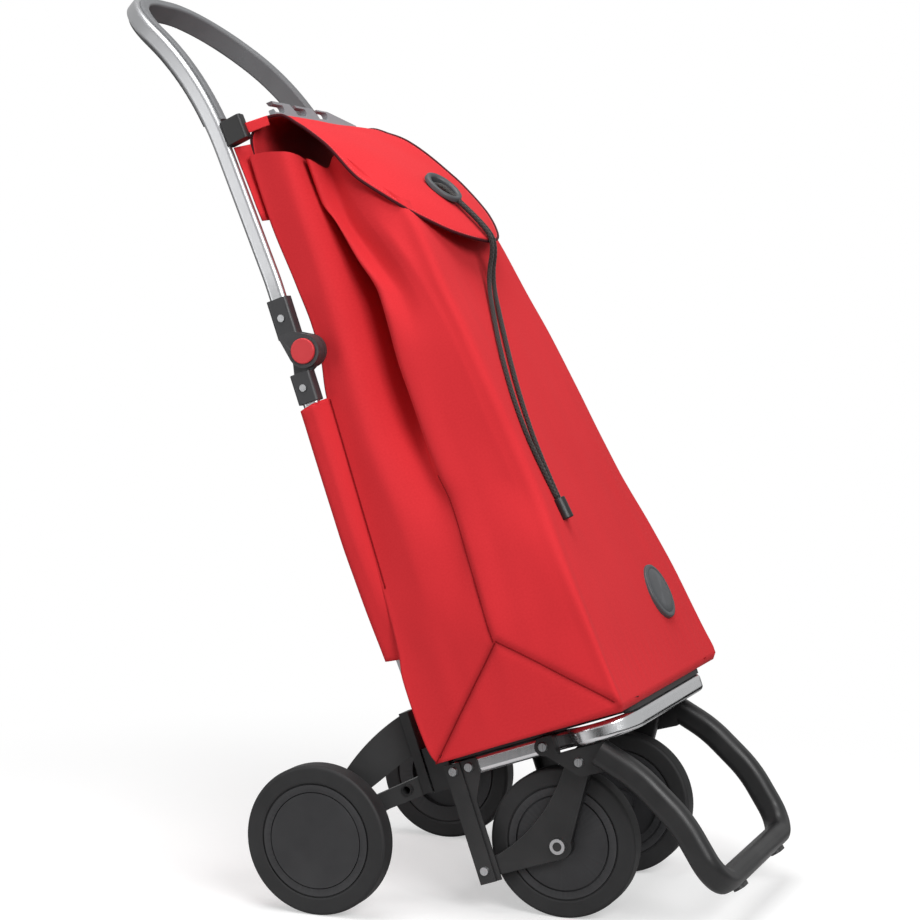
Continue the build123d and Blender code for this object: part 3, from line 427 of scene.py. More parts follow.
def mesh_piece(name: str, points: np.ndarray, faces: Sequence[Sequence[int]], finish: Finish,
               uv: Optional[np.ndarray] = None, seam: Optional[np.ndarray] = None) -> bpy.types.Object:
    """Make a smooth mesh object in the shared frame.

    Args:
        name: Name of the piece.
        points: Vertices in metres.
        faces: Vertex indices of each face, outward.
        finish: Finish of the whole piece.
        uv: Surface coordinate of each vertex, in metres.
        seam: Seam share of each vertex, from 0 to 1, which the cloth paints as shade.

    Returns:
        The linked object.
    """
    mesh = bpy.data.meshes.new(name)
    mesh.from_pydata([tuple(p) for p in points], [], faces)
    if uv is not None:
        layer = mesh.uv_layers.new(name="UVMap")
        corners = np.empty(len(mesh.loops), np.int32)
        mesh.loops.foreach_get("vertex_index", corners)
        layer.data.foreach_set("uv", uv[corners].astype(np.float32).ravel())
    if seam is not None:
        mesh.attributes.new("seam", "FLOAT", "POINT").data.foreach_set("value", seam.astype(np.float32))
    smooth(mesh)
    mesh.materials.append(finish.material())
    return add_object(name, mesh)


def evaluated(piece: bpy.types.Object) -> bpy.types.Mesh:
    """Plain mesh of a curve or mesh object as its modifiers leave it."""
    bpy.context.view_layer.update()
    return bpy.data.meshes.new_from_object(piece.evaluated_get(bpy.context.evaluated_depsgraph_get()))


def flattened(piece: bpy.types.Object) -> bpy.types.Object:
    """Replace a piece by a plain mesh of its evaluated shape.

    Args:
        piece: Mesh object with modifiers, at the origin.

    Returns:
        A mesh object with the same name and materials.
    """
    shape = evaluated(piece)
    name = piece.name
    bpy.data.objects.remove(piece)
    shape.name = name
    return add_object(name, shape)


def thickened(piece: bpy.types.Object, thickness: float, offset: float = -1.0) -> bpy.types.Object:
    """Give a sheet its thickness.

    Args:
        piece: Sheet of faces.
        thickness: Thickness in millimetres.
        offset: -1 to thicken it inwards, 0 to both sides.

    Returns:
        A plain mesh object with the same name.
    """
    solid = piece.modifiers.new("thickness", "SOLIDIFY")
    solid.thickness = thickness * MM
    solid.offset = offset
    return flattened(piece)


def grid_faces(rows: int, columns: int, closed: bool, flip: bool = False) -> list[tuple[int, ...]]:
    """Quads of a grid of vertices stored row by row.

    Args:
        rows: Number of rows.
        columns: Vertices in each row.
        closed: Whether each row runs round to its start.
        flip: Whether the faces look the other way.

    Returns:
        Vertex indices of each quad.
    """
    faces = []
    for row in range(rows - 1):
        for column in range(columns if closed else columns - 1):
            after = (column + 1) % columns
            quad = (row * columns + column, row * columns + after, (row + 1) * columns + after,
                    (row + 1) * columns + column)
            faces.append(quad[::-1] if flip else quad)
    return faces


def turned_faces(turns: int, count: int) -> list[tuple[int, ...]]:
    """Quads of a profile of so many points, stored turn by turn round a closed ring."""
    return [(turn * count + step, (turn + 1) % turns * count + step, (turn + 1) % turns * count + step + 1,
             turn * count + step + 1) for turn in range(turns) for step in range(count - 1)]


def grid_normals(grid: np.ndarray) -> np.ndarray:
    """Outward unit directions at the points of a grid whose rows are closed loops."""
    around = np.roll(grid, -1, axis=1) - np.roll(grid, 1, axis=1)
    normal = np.cross(around, np.gradient(grid, axis=0))
    return normal / np.maximum(np.linalg.norm(normal, axis=2, keepdims=True), 1e-9)


def run_of(points: np.ndarray) -> np.ndarray:
    """Length run along a line at each of its points."""
    return np.concatenate(([0.0], np.cumsum(np.linalg.norm(np.diff(points, axis=0), axis=1))))


def pchip(knots: np.ndarray, values: np.ndarray, where: np.ndarray) -> np.ndarray:
    """Smooth curve through values that never overshoots them.

    Args:
        knots: Increasing positions of the values.
        values: One row of numbers for each knot.
        where: Positions to read.

    Returns:
        One row of numbers for each position.
    """
    step = np.diff(knots)[:, None]
    slope = np.diff(values, axis=0) / step
    tangent = np.zeros_like(values)
    tangent[0], tangent[-1] = slope[0], slope[-1]
    product = slope[:-1] * slope[1:]
    harmonic = 2 * product / np.where(np.abs(slope[:-1] + slope[1:]) < 1e-12, 1.0, slope[:-1] + slope[1:])
    tangent[1:-1] = np.where(product > 0, harmonic, 0.0)
    span = np.clip(np.searchsorted(knots, where, side="right") - 1, 0, len(knots) - 2)
    share = ((where - knots[span]) / step[span, 0])[:, None]
    return hermite(share, step[span], values[span], tangent[span], values[span + 1], tangent[span + 1])


def hermite(share: np.ndarray, width: np.ndarray, start: np.ndarray, start_slope: np.ndarray, end: np.ndarray,
            end_slope: np.ndarray) -> np.ndarray:
    """Cubic between two points with a slope at each.

    Args:
        share: Place between the points, from 0 to 1.
        width: Length of the span.
        start: Value at the start.
        start_slope: Slope at the start.
        end: Value at the end.
        end_slope: Slope at the end.

    Returns:
        Values at the places.
    """
    low = (1 + 2 * share) * (1 - share) ** 2 * start + share * (1 - share) ** 2 * width * start_slope
    high = share ** 2 * (3 - 2 * share) * end + share ** 2 * (share - 1) * width * end_slope
    return low + high


def ring_spline(keys: np.ndarray, counts: Sequence[int]) -> np.ndarray:
    """Closed smooth loops through key points, for every row at once.

    Args:
        keys: Key points by row, then round the loop.
        counts: Samples on each span of the loop.

    Returns:
        Points by row, then round the loop.
    """
    after = np.roll(keys, -1, axis=1)
    chord = np.maximum(np.linalg.norm(after - keys, axis=2, keepdims=True), 1e-6)
    slope = (after - keys) / chord
    before, chord_before = np.roll(slope, 1, axis=1), np.roll(chord, 1, axis=1)
    tangent = (slope * chord_before + before * chord) / (chord + chord_before)
    spans = []
    for place, count in enumerate(counts):
        ends = (place, (place + 1) % keys.shape[1])
        share = (np.arange(count) / count)[None, :, None]
        rows = [table[:, end][:, None] for end in ends for table in (keys, tangent)]
        spans.append(hermite(share, chord[:, place][:, None], *rows))
    return np.concatenate(spans, axis=1)


def segment_distance(points: np.ndarray, start: Point, end: Point) -> np.ndarray:
    """Distance of points from a straight seam between two lean points, in millimetres."""
    first, line = np.array(start), np.array(end) - np.array(start)
    share = np.clip((points - first) @ line / (line @ line), 0, 1)
    return np.linalg.norm(points - first - share[..., None] * line, axis=-1)


def tube_piece(name: str, path: np.ndarray, radius: float, finish: Finish, sides: int = 12) -> bpy.types.Object:
    """Round tube with closed ends along a path of points.

    Args:
        name: Name of the piece.
        path: Points of the centre line in metres.
        radius: Radius of the tube in millimetres.
        finish: Finish of the tube.
        sides: Faces round the tube.

    Returns:
        The linked object, with coordinates along and round it.
    """
    along = np.gradient(path, axis=0)
    along /= np.linalg.norm(along, axis=1, keepdims=True)
    across = np.cross(along[0], (1.0, 0.0, 0.0) if abs(along[0][0]) < 0.9 else (0.0, 1.0, 0.0))
    rings, coords = [], []
    run = run_of(path)
    for place, heading in enumerate(along):
        across = across - heading * (across @ heading)
        across /= np.linalg.norm(across)
        other = np.cross(heading, across)
        for turn in range(sides + 1):
            angle = 2 * math.pi * turn / sides
            rings.append(path[place] + (across * math.cos(angle) + other * math.sin(angle)) * radius * MM)
            coords.append((run[place], turn / sides))
    faces = grid_faces(len(path), sides + 1, closed=False)
    last = (len(path) - 1) * (sides + 1)
    faces.append(tuple(range(sides))[::-1])
    faces.append(tuple(last + turn for turn in range(sides)))
    piece = mesh_piece(name, np.array(rings), faces, finish, np.array(coords))
    shape = bmesh.new()
    shape.from_mesh(piece.data)
    bmesh.ops.remove_doubles(shape, verts=shape.verts, dist=1e-6)
    shape.to_mesh(piece.data)
    shape.free()
    return piece


@dataclass
class Stitching:
    """Row of sewn stitches laid along a path by Geometry Nodes."""

    pitch: float = 3.6
    length: float = 2.6
    radius: float = 0.35
    finish: Finish = Finishes.thread

    def tree(self) -> tuple[bpy.types.NodeTree, dict[str, str]]:
        """Node tree of a stitch row.

        Returns:
            The tree and the socket identifier of each named input.
        """
        tree = bpy.data.node_groups.new("stitch row", "GeometryNodeTree")
        for way in ("OUTPUT", "INPUT"):
            tree.interface.new_socket("Geometry", in_out=way, socket_type="NodeSocketGeometry")
        names = {name: tree.interface.new_socket(name, in_out="INPUT", socket_type="NodeSocketFloat").identifier
                 for name in ("Pitch", "Length", "Radius")}
        given = add_node(tree, "NodeGroupInput").outputs
        line = add_node(tree, "GeometryNodeMeshToCurve", {"Mesh": given["Geometry"]})
        dots = add_node(tree, "GeometryNodeResampleCurve", {"Curve": line, "Length": given["Pitch"]}, mode="LENGTH")
        bead = add_node(tree, "GeometryNodeMeshUVSphere", {"Segments": 6, "Rings": 4, "Radius": 1.0})
        size = add_node(tree, "ShaderNodeCombineXYZ", {0: given["Radius"], 1: given["Radius"], 2: given["Length"]})
        heading = add_node(tree, "GeometryNodeInputTangent")
        turn = add_node(tree, "FunctionNodeAlignRotationToVector", {"Vector": heading}, axis="Z")
        rows = add_node(tree, "GeometryNodeInstanceOnPoints", {"Points": dots, "Instance": bead, "Rotation": turn,
                                                               "Scale": size})
        real = add_node(tree, "GeometryNodeRealizeInstances", {0: rows})
        done = add_node(tree, "GeometryNodeSetMaterial", {"Geometry": real, "Material": self.finish.material()})
        add_node(tree, "NodeGroupOutput", {0: done})
        return tree, names

    def sew(self, name: str, path: np.ndarray) -> bpy.types.Object:
        """Sew a row of stitches.

        Args:
            name: Name of the piece.
            path: Points of the row in metres.

        Returns:
            The stitches as a plain mesh object.
        """
        mesh = bpy.data.meshes.new(name)
        mesh.from_pydata([tuple(p) for p in path], [(i, i + 1) for i in range(len(path) - 1)], [])
        piece = add_object(name, mesh)
        modifier = piece.modifiers.new("stitches", "NODES")
        modifier.node_group, names = self.tree()
        for key, value in (("Pitch", self.pitch), ("Length", self.length / 2), ("Radius", self.radius)):
            modifier[names[key]] = value * MM
        made = flattened(piece)
        smooth(made.data)
        return made


@dataclass
class Bag:
    """Soft bag: one lofted cloth shell with pleated sides, a lining and sewn bottom corners.

    Each guide runs up one line of the bag as (h, half width, b), in millimetres of the lean.
    """

    rear: Guide = ((17, 171, -16), (40, 170, -11), (75, 168.5, -8.5), (115, 166.5, -7.5), (140, 165, -11),
                   (214, 161.5, -14.5), (380, 153.5, -14.5), (430, 151.5, -15), (487, 147.5, -22), (515, 147, -22.5),
                   (560, 146.5, -19), (641, 145.5, -12), (714, 145, -11))
    shoulder: Guide = ((17.5, 174.6, -60), (60, 175, -60), (125, 173.1, -60), (210, 166.5, -58), (290, 163, -55),
                       (380, 157, -50), (450, 153, -49), (510, 149, -50), (560, 148, -50), (620, 147, -50),
                       (705, 146, -51))
    valley: Guide = ((18.5, 178.9, -112), (60, 179.6, -112), (125, 180.6, -119), (216, 165, -117), (250, 158, -114),
                     (282, 150, -110), (330, 134, -102), (385, 104, -96), (450, 86, -94), (510, 80, -92),
                     (560, 72, -86), (613, 64, -72), (650, 58, -58), (688, 52, -46))
    ridge: Guide = ((19, 180.4, -130), (60, 181.1, -130), (125, 182, -130), (216, 168.5, -126), (282, 157, -122),
                    (313, 155, -116), (378, 151, -112), (432, 150, -111), (495, 146, -114), (521, 141, -112),
                    (564, 136, -97), (613, 130, -82), (640, 125, -72), (690, 124, -70))
    second_valley: Guide = ((20, 182.9, -160), (60, 183.6, -160), (125, 180.2, -160), (210, 168, -158),
                            (290, 155, -152), (380, 148, -140), (450, 144, -135), (510, 131, -128), (559, 121, -108),
                            (613, 114, -88), (678, 103, -80))
    front_ridge: Guide = ((21.5, 186.2, -200), (60, 186, -201), (125, 178.4, -197), (210, 167, -190),
                          (290, 149, -182), (380, 143.5, -170), (450, 139.5, -160), (531, 130, -141),
                          (571, 126, -128), (620, 119, -108), (686, 110, -92))
    front: Guide = ((24, 190, -245.5), (60, 184.5, -241), (140, 176, -232), (200, 165, -224), (260, 150, -216),
                    (320, 143, -208), (380, 139.5, -199.5), (440, 135, -190.5), (500, 129, -179.5), (571, 119, -168),
                    (612, 112, -157))
    # Rows up the bag, and samples on each span round it: back, right side and front, then left side and back.
    rows: int = 190
    right_spans: tuple[int, ...] = (13, 2, 2, 14, 22, 16, 16, 16, 16, 5, 5, 26, 26)
    left_spans: tuple[int, ...] = (22, 22, 4, 4, 10, 10, 10, 10, 12, 10, 2, 2, 10)
    # Rounding of the corners; the front ones grow rounder and softer from the low level to the high one.
    rear_turn: float = 4.0
    front_turn: Pair = (12.0, 30.0)
    turn_levels: Pair = (0.05, 0.5)
    front_soft: float = 0.22
    soft_levels: Pair = (0.05, 0.4)
    # Wide swells and finer creases, which fade out to the foot and are weaker on the front.
    swell: Ripple = Ripple((0.016, 0.022, 0.006), 1.7, (0.0, 0.0, 4.0))
    crease: Ripple = Ripple((0.05, 0.05, 0.014), 0.7, (9.0, 0.0, 0.0))
    still_h: float = 26.0
    still_run: float = 40.0
    front_calm: float = 0.55
    # Where the front begins: b at the height, its change with height, and the run over which it takes hold.
    front_b: float = 150.0
    front_h: float = 571.0
    front_lean: float = 0.06
    front_run: float = 30.0
    # Puckers where the front is sewn to the floor.
    pucker_depth: float = 0.8
    pucker_pitch: float = 17.0
    pucker_h: float = 24.0
    pucker_fade: float = 26.0
    # Floor of the shell: height, middle, and shares of the rings towards the middle.
    floor_h: float = 17.6
    floor_b: float = -131.0
    floor_rings: tuple[float, ...] = (0.97, 0.6, 0.3)
    lining_gap: float = 1.4
    lining_step: int = 4
    # Seams of the bottom corners, and the pressed fold that fades out above them; the cloth sinks along them and is
    # darkened there as painted shade.
    apex: Point = (182, -130, 125)
    rear_foot: Point = (171, -16, 17)
    front_foot: Point = (190, -245.5, 24)
    seam_width: float = 4.5
    seam_depth: float = 1.8
    press_heights: Pair = (120.0, 330.0)
    press_b: float = 3.0
    press_share: float = 0.8
    press_end: float = 340.0
    press_fade: float = 160.0
    # Welts: where the sides begin, where the sleeve is joined, lift of each welt off the cloth.
    welt_radius: float = 0.75
    side_x: float = 90.0
    side_b: float = -17.5
    join_heights: Pair = (205.0, 435.0)
    welt_lifts: tuple[float, ...] = (0.1, 0.1, 0.1, 0.5)
    welt_points: int = 50
    welt_near: int = 5
    # Direction (b, h) in which the bag folds down, and the share of its height that is left.
    fold_axis: Pair = (0.1395, 1.0)
    fold_keep: float = 0.575

    def lines(self) -> np.ndarray:
        """Key points of every row, round the bag from the middle of the back by the right side."""
        levels = np.linspace(0.0, 1.0, self.rows)

        def run(guide: Guide) -> np.ndarray:
            """Points (half, b, h) of one guide at every row."""
            table = np.array(guide, float)
            heights = table[0, 0] + (table[-1, 0] - table[0, 0]) * levels
            return np.column_stack((pchip(table[:, 0], table[:, 1:], heights), heights))

        def across(line: np.ndarray, share: float) -> np.ndarray:
            """A line moved to a share of its half width."""
            return line * np.array((share, 1.0, 1.0))

        rear, front = run(self.rear), run(self.front)
        side = [run(g) for g in (self.shoulder, self.valley, self.ridge, self.second_valley, self.front_ridge)]
        turn = np.interp(levels, self.turn_levels, self.front_turn)[:, None]
        lead = side[-1] - front
        lead = front + lead / np.linalg.norm(lead, axis=1, keepdims=True) * turn
        back_in = rear - np.array((self.rear_turn, 0.0, 0.0))
        side_in = rear - np.array((0.0, self.rear_turn, 0.0))
        front_in = front - np.array((1.0, 0.0, 0.0)) * turn
        soft = self.front_soft * np.interp(levels, self.soft_levels, (0.0, 1.0))[:, None]
        corner = front + ((lead + front_in) / 2 - front) * soft
        half = [back_in, rear, side_in, *side, lead, corner, front_in, across(front, 0.5)]
        right, left = ([across(line, sign) for line in half] for sign in (-1, 1))
        return np.stack([across(rear, 0), *right, across(front, 0), *left[::-1]], axis=1)

    def wrinkled(self, grid: np.ndarray) -> np.ndarray:
        """Move the cloth in and out by soft creases, puckers and seams.

        Args:
            grid: Lean points by row and column.

        Returns:
            The moved points.
        """
        x, b, h = grid[..., 0], grid[..., 1], grid[..., 2]
        moved = np.array([self.swell.at(*point) + self.crease.at(*point) for point in grid.reshape(-1, 3)])
        moved = moved.reshape(grid.shape[:2])
        front = np.clip((-b - self.front_b - (self.front_h - h) * self.front_lean) / self.front_run, 0, 1)
        pucker = np.exp(-(h - self.pucker_h) / self.pucker_fade) * np.sin(x * 2 * math.pi / self.pucker_pitch)
        moved *= 1 - self.front_calm * front
        moved += self.pucker_depth * pucker * front
        moved *= np.clip((h - self.still_h) / self.still_run, 0, 1)
        moved -= self.seam_depth * self.seams(grid)
        return grid + grid_normals(grid) * moved[..., None]

    def pressed(self) -> list[Point]:
        """Points of the pressed fold above the bottom corner's apex, on the left."""
        low, high = self.press_heights
        return [(half, b + self.press_b, h) for h, half, b in self.ridge if low < h < high]

    def seams(self, grid: np.ndarray) -> np.ndarray:
        """Seam share of each point, from the bottom corner seams and the pressed fold above them; it sinks the cloth
        and paints its shade.
        """
        mirrored = np.stack((np.abs(grid[..., 0]), grid[..., 1], grid[..., 2]), axis=-1)
        fade = self.press_share * np.clip((self.press_end - grid[..., 2]) / self.press_fade, 0, 1)
        fold = self.pressed()
        runs = [(self.rear_foot, self.apex, 1.0), (self.apex, self.front_foot, 1.0)]
        runs += [(start, end, fade) for start, end in zip(fold, fold[1:])]
        share = np.zeros(grid.shape[:2])
        for start, end, strength in runs:
            near = np.exp(-(segment_distance(mirrored, start, end) / self.seam_width) ** 2)
            share = np.maximum(share, strength * near)
        return share

    def build(self) -> list[bpy.types.Object]:
        """Make the shell, its lining and its welts.

        Returns:
            Shell, lining, then the welts.
        """
        plain = ring_spline(self.lines(), self.right_spans + self.left_spans)
        grid = self.wrinkled(plain)
        rows, columns = grid.shape[:2]
        shell = [grid.reshape(-1, 3)]
        faces = grid_faces(rows, columns, closed=True)
        centre = np.array((0.0, self.floor_b, self.floor_h))
        base = rows * columns
        outer = 0
        for place, share in enumerate(self.floor_rings):
            ring = centre + (grid[0] - centre) * share
            ring[:, 2] = self.floor_h
            shell.append(ring)
            inner = base + place * columns
            for column in range(columns):
                after = (column + 1) % columns
                faces.append((outer + after, outer + column, inner + column, inner + after))
            outer = inner
        shell.append(centre[None])
        tip = outer + columns
        faces.extend((outer + (column + 1) % columns, outer + column, tip) for column in range(columns))
        points = np.concatenate(shell)
        girth = run_of(grid[rows // 3])
        uv = np.stack(np.broadcast_arrays(girth[None, :], grid[..., 2]), axis=-1).reshape(-1, 2)
        uv = np.concatenate((uv, points[base:, :2])) * MM
        # The seam share is painted on the cloth as the shade of the seam grooves and the crease.
        seam = np.concatenate((self.seams(plain).reshape(-1), np.zeros(len(points) - base)))
        outside = mesh_piece("bag_shell", Lean.array(points), faces, Finishes.cloth, uv, seam)
        return [outside, self.line(grid, uv), *self.welts(grid)]

    def welts(self, grid: np.ndarray) -> list[bpy.types.Object]:
        """Make the sewn welts of the bottom corners and the sleeve's join, and a dark tube of painted shade along the
        pressed crease, on the shell.

        Args:
            grid: Shell points by row and column.

        Returns:
            One thin tube for each seam and for the pressed crease, on each side.
        """
        low, high = self.join_heights
        join = [(half, b - self.rear_turn, h) for h, half, b in self.rear if low < h < high]
        # The third line is the pressed crease, with no seam: its dark tube is painted shade.
        seams = ([self.rear_foot, self.apex], [self.apex, self.front_foot], self.pressed(), join)
        made = []
        for hand in Hand:
            side = grid.reshape(-1, 3)
            side = side[(side[:, 0] * hand.value > self.side_x) & (side[:, 1] < self.side_b)]
            for place, (line, lift) in enumerate(zip(seams, self.welt_lifts)):
                table = np.array(line, float)
                run = run_of(table)
                path = pchip(run, table, np.linspace(0, run[-1], self.welt_points))
                for point in path:
                    gap = np.linalg.norm(side[:, 1:] - point[1:], axis=1)
                    near = np.argsort(gap)[:self.welt_near]
                    weight = 1 / (gap[near] + 0.5) ** 2
                    point[0] = (side[near, 0] * weight).sum() / weight.sum() + lift * hand.value
                path[1:-1, 0] = (path[:-2, 0] + path[1:-1, 0] + path[2:, 0]) / 3
                made.append(tube_piece("bag_welt_%s_%d" % (hand.name.lower(), place + 1), Lean.array(path),
                                       self.welt_radius, Finishes.welt_painted_shade, sides=8))
        return made

    def line(self, grid: np.ndarray, uv: np.ndarray) -> bpy.types.Object:
        """Make the black lining just inside the shell.

        Args:
            grid: Shell points by row and column.
            uv: Shell coordinates of each point.

        Returns:
            The lining.
        """
        rows, columns = grid.shape[:2]
        inside = grid - grid_normals(grid) * self.lining_gap
        inside[-1] = grid[-1]
        pick = np.unique(np.concatenate((np.arange(0, rows, self.lining_step), [rows - 2, rows - 1])))
        coords = uv[:rows * columns].reshape(rows, columns, 2)[pick].reshape(-1, 2)
        faces = grid_faces(len(pick), columns, closed=True, flip=True)
        return mesh_piece("bag_lining", Lean.array(inside[pick]).reshape(-1, 3), faces, Finishes.lining, coords)

    def fold(self, piece: bpy.types.Object) -> None:
        """Set a piece of the bag on the frame, with a mesh of its own."""
        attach(piece, "frame")
        Lean.direction(*self.fold_axis)
        Lean.at(*self.front_foot)
        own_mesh(piece)

    def dress(self) -> None:
        """Build the bag with its welts and set it on the frame."""
        pieces = self.build()
        for piece in pieces:
            self.fold(piece)
            LOG.info("%s on frame", piece.name)
        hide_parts("bag_back", "bag_front", "bag_side_left", "bag_side_right", "bag_floor")


@dataclass
class Flap:
    """Domed cloth flap with the yoke behind it, its binding and stitches.

    The lines are (b, h); the widths and droops are (share of the flap, millimetres).
    """

    yoke_line: Table = ((-12.5, 691), (-10.5, 716), (-13, 733), (-25, 746), (-39, 750.5))
    flap_line: Table = ((-53, 748), (-73, 731), (-96.5, 706.6), (-136, 660), (-171, 609), (-199, 554))
    half: Table = ((-0.4, 131), (0, 129), (0.5, 128), (0.65, 121), (0.75, 110), (0.84, 93), (0.91, 74), (0.96, 52),
                   (0.985, 32), (1.0, 4))
    near_droop: Table = ((-0.4, 0), (0, 0), (0.25, 6), (0.5, 19), (0.75, 16), (0.9, 9), (1.0, 3))
    far_droop: Table = ((-0.4, 0), (0, 0), (0.2, -5), (0.5, 2), (0.75, 7), (0.9, 6), (1.0, 3))
    droop_power: float = 2.4
    # Share at which the yoke starts, rows of yoke and flap, how they crowd to the tip, and columns across.
    yoke_share: float = -0.4
    yoke_rows: int = 30
    rows: int = 110
    crowding: float = 1.6
    columns: int = 61
    ripple: Ripple = Ripple((0.018, 0.02, 0.01), 1.2)
    # Length of the flap and half width, for the weave's coordinates.
    cloth_size: Pair = (250.0, 128.0)
    thickness: float = 1.8
    binding_radius: float = 1.7
    # Stitches: distance from the edge, least half width that they follow, share at which they end, and lift.
    stitch_inset: float = 6.0
    stitch_half: float = 8.0
    stitch_end: float = 0.985
    stitch_lift: float = 0.25
    hinge_start: Pair = (-38.0, 756.0)
    hinge_end: Pair = (-66.0, 734.0)

    def surface(self, share: np.ndarray, across: np.ndarray) -> np.ndarray:
        """Lean points of the outer face.

        Args:
            share: Place along the flap, below 0 on the yoke, 0 at the crest and 1 at the tip.
            across: Place across it, from -1 on the right to 1 on the left.

        Returns:
            Points in millimetres.
        """
        line = np.array(self.yoke_line + self.flap_line, float)
        run = run_of(line)
        crest = run[len(self.yoke_line)]
        place = np.where(share < 0, crest * (1 - share / self.yoke_share), crest + (run[-1] - crest) * share)

        def along(shift: float) -> np.ndarray:
            """Centre line at every place, moved along by so many millimetres."""
            return pchip(run, line, np.clip(place.reshape(-1) + shift, 0, run[-1])).reshape(share.shape + (2,))

        step = along(2) - along(-2)
        step /= np.linalg.norm(step, axis=-1, keepdims=True)
        outward = np.stack((step[..., 1], -step[..., 0]), axis=-1)

        def read(table: Table) -> np.ndarray:
            """Value of a table at every share."""
            rows = np.array(table, float)
            return pchip(rows[:, 0], rows[:, 1:], share.reshape(-1)).reshape(share.shape)

        droop = np.where(across < 0, read(self.near_droop), read(self.far_droop)) * np.abs(across) ** self.droop_power
        centre = along(0) - outward * droop[..., None]
        return np.stack((across * read(self.half), centre[..., 0], centre[..., 1]), axis=-1)

    def build(self) -> dict[str, bpy.types.Object]:
        """Make the cloth, its binding and two stitch rows.

        Returns:
            Pieces by name.
        """
        even = np.linspace(0, 1, self.rows)
        yoke = np.linspace(self.yoke_share, 0, self.yoke_rows, endpoint=False)
        share = np.concatenate((yoke, 1 - (1 - even) ** self.crowding))
        across = np.linspace(-1, 1, self.columns)
        grid = self.surface(*np.meshgrid(share, across, indexing="ij"))
        for point in grid.reshape(-1, 3):
            point[2] += self.ripple.at(*point)
        length, half = self.cloth_size
        uv = np.stack(np.meshgrid(share * length, across * half, indexing="ij"), axis=-1).reshape(-1, 2) * MM
        faces = grid_faces(len(share), self.columns, closed=False, flip=True)
        cloth = mesh_piece("flap_cloth", Lean.array(grid).reshape(-1, 3), faces, Finishes.cloth, uv)
        cloth = thickened(cloth, self.thickness)
        rim = Lean.array(np.concatenate((grid[:, 0], grid[::-1, -1])))
        rim = np.array([p for i, p in enumerate(rim) if i == 0 or np.linalg.norm(p - rim[i - 1]) > 1e-4])
        binding = tube_piece("flap_binding", rim, self.binding_radius, Finishes.binding, sides=10)
        inset = np.array([max(0.0, 1 - self.stitch_inset / max(abs(g[0, 0]), self.stitch_half)) for g in grid])
        keep = share < self.stitch_end
        rows = [self.surface(share[keep], sign * inset[keep]) for sign in (-1, 1)]
        for point in (point for row in rows for point in row):
            point[2] += self.ripple.at(*point) + self.stitch_lift
        stitches = Stitching().sew("flap_stitches", Lean.array(np.concatenate((rows[0], rows[1][::-1]))))
        return {"cloth": cloth, "binding": binding, "stitches": stitches}

    def dress(self) -> None:
        """Build the flap and bake its pieces into the shared frame."""
        pieces = self.build()
        start, end = Lean.at(0, *self.hinge_start), Lean.at(0, *self.hinge_end)
        for piece in pieces.values():
            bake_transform(piece)
            LOG.info("%s bends between bag_top and flap", piece.name)
        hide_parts("flap", "rear_yoke")


@dataclass
class Eyelet:
    """Oval moulded ring on the flap, with a rounded lip."""

    centre: Point = (-8.0, -167.5, 627.0)
    up: Pair = (-0.842, 0.539)
    half_length: float = 25.0
    half_width: float = 19.0
    rim: float = 7.5
    height: float = 3.4
    # Lean of the ring towards the right, in degrees, where the drooping cloth tips it.
    tilt: float = 13.0
    # Inset as a share of the rim and rise as a share of the height, from the outside in.
    profile: Table = ((0, -0.5), (0.08, 0.7), (0.3, 1.0), (0.6, 0.95), (0.88, 0.55), (1.0, 0.0), (1.0, -2.6),
                      (0.9, -3.0))
    turns: int = 48

    def build(self) -> bpy.types.Object:
        """Make the ring."""
        along = Vector((0.0, -self.up[1], self.up[0]))
        level = Vector((0.0, *self.up))
        turned = math.radians(self.tilt)
        up = level * math.cos(turned) - Vector((math.sin(turned), 0.0, 0.0))
        across = Vector((math.cos(turned), 0.0, 0.0)) + level * math.sin(turned)
        points = []
        for turn in range(self.turns):
            angle = 2 * math.pi * turn / self.turns
            for inset, rise in self.profile:
                reach = self.rim * inset
                x = (self.half_width - reach) * math.cos(angle)
                a = (self.half_length - reach) * math.sin(angle)
                points.append(Vector(self.centre) + across * x + along * a + up * (rise * self.height))
        faces = turned_faces(self.turns, len(self.profile))
        return mesh_piece("flap_eyelet", Lean.array(np.array(points)), faces, Finishes.slate)

    def dress(self) -> None:
        """Set the ring on the flap."""
        ring = self.build()
        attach(ring, "flap")
        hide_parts("eyelet")
        LOG.info("%s on flap", ring.name)


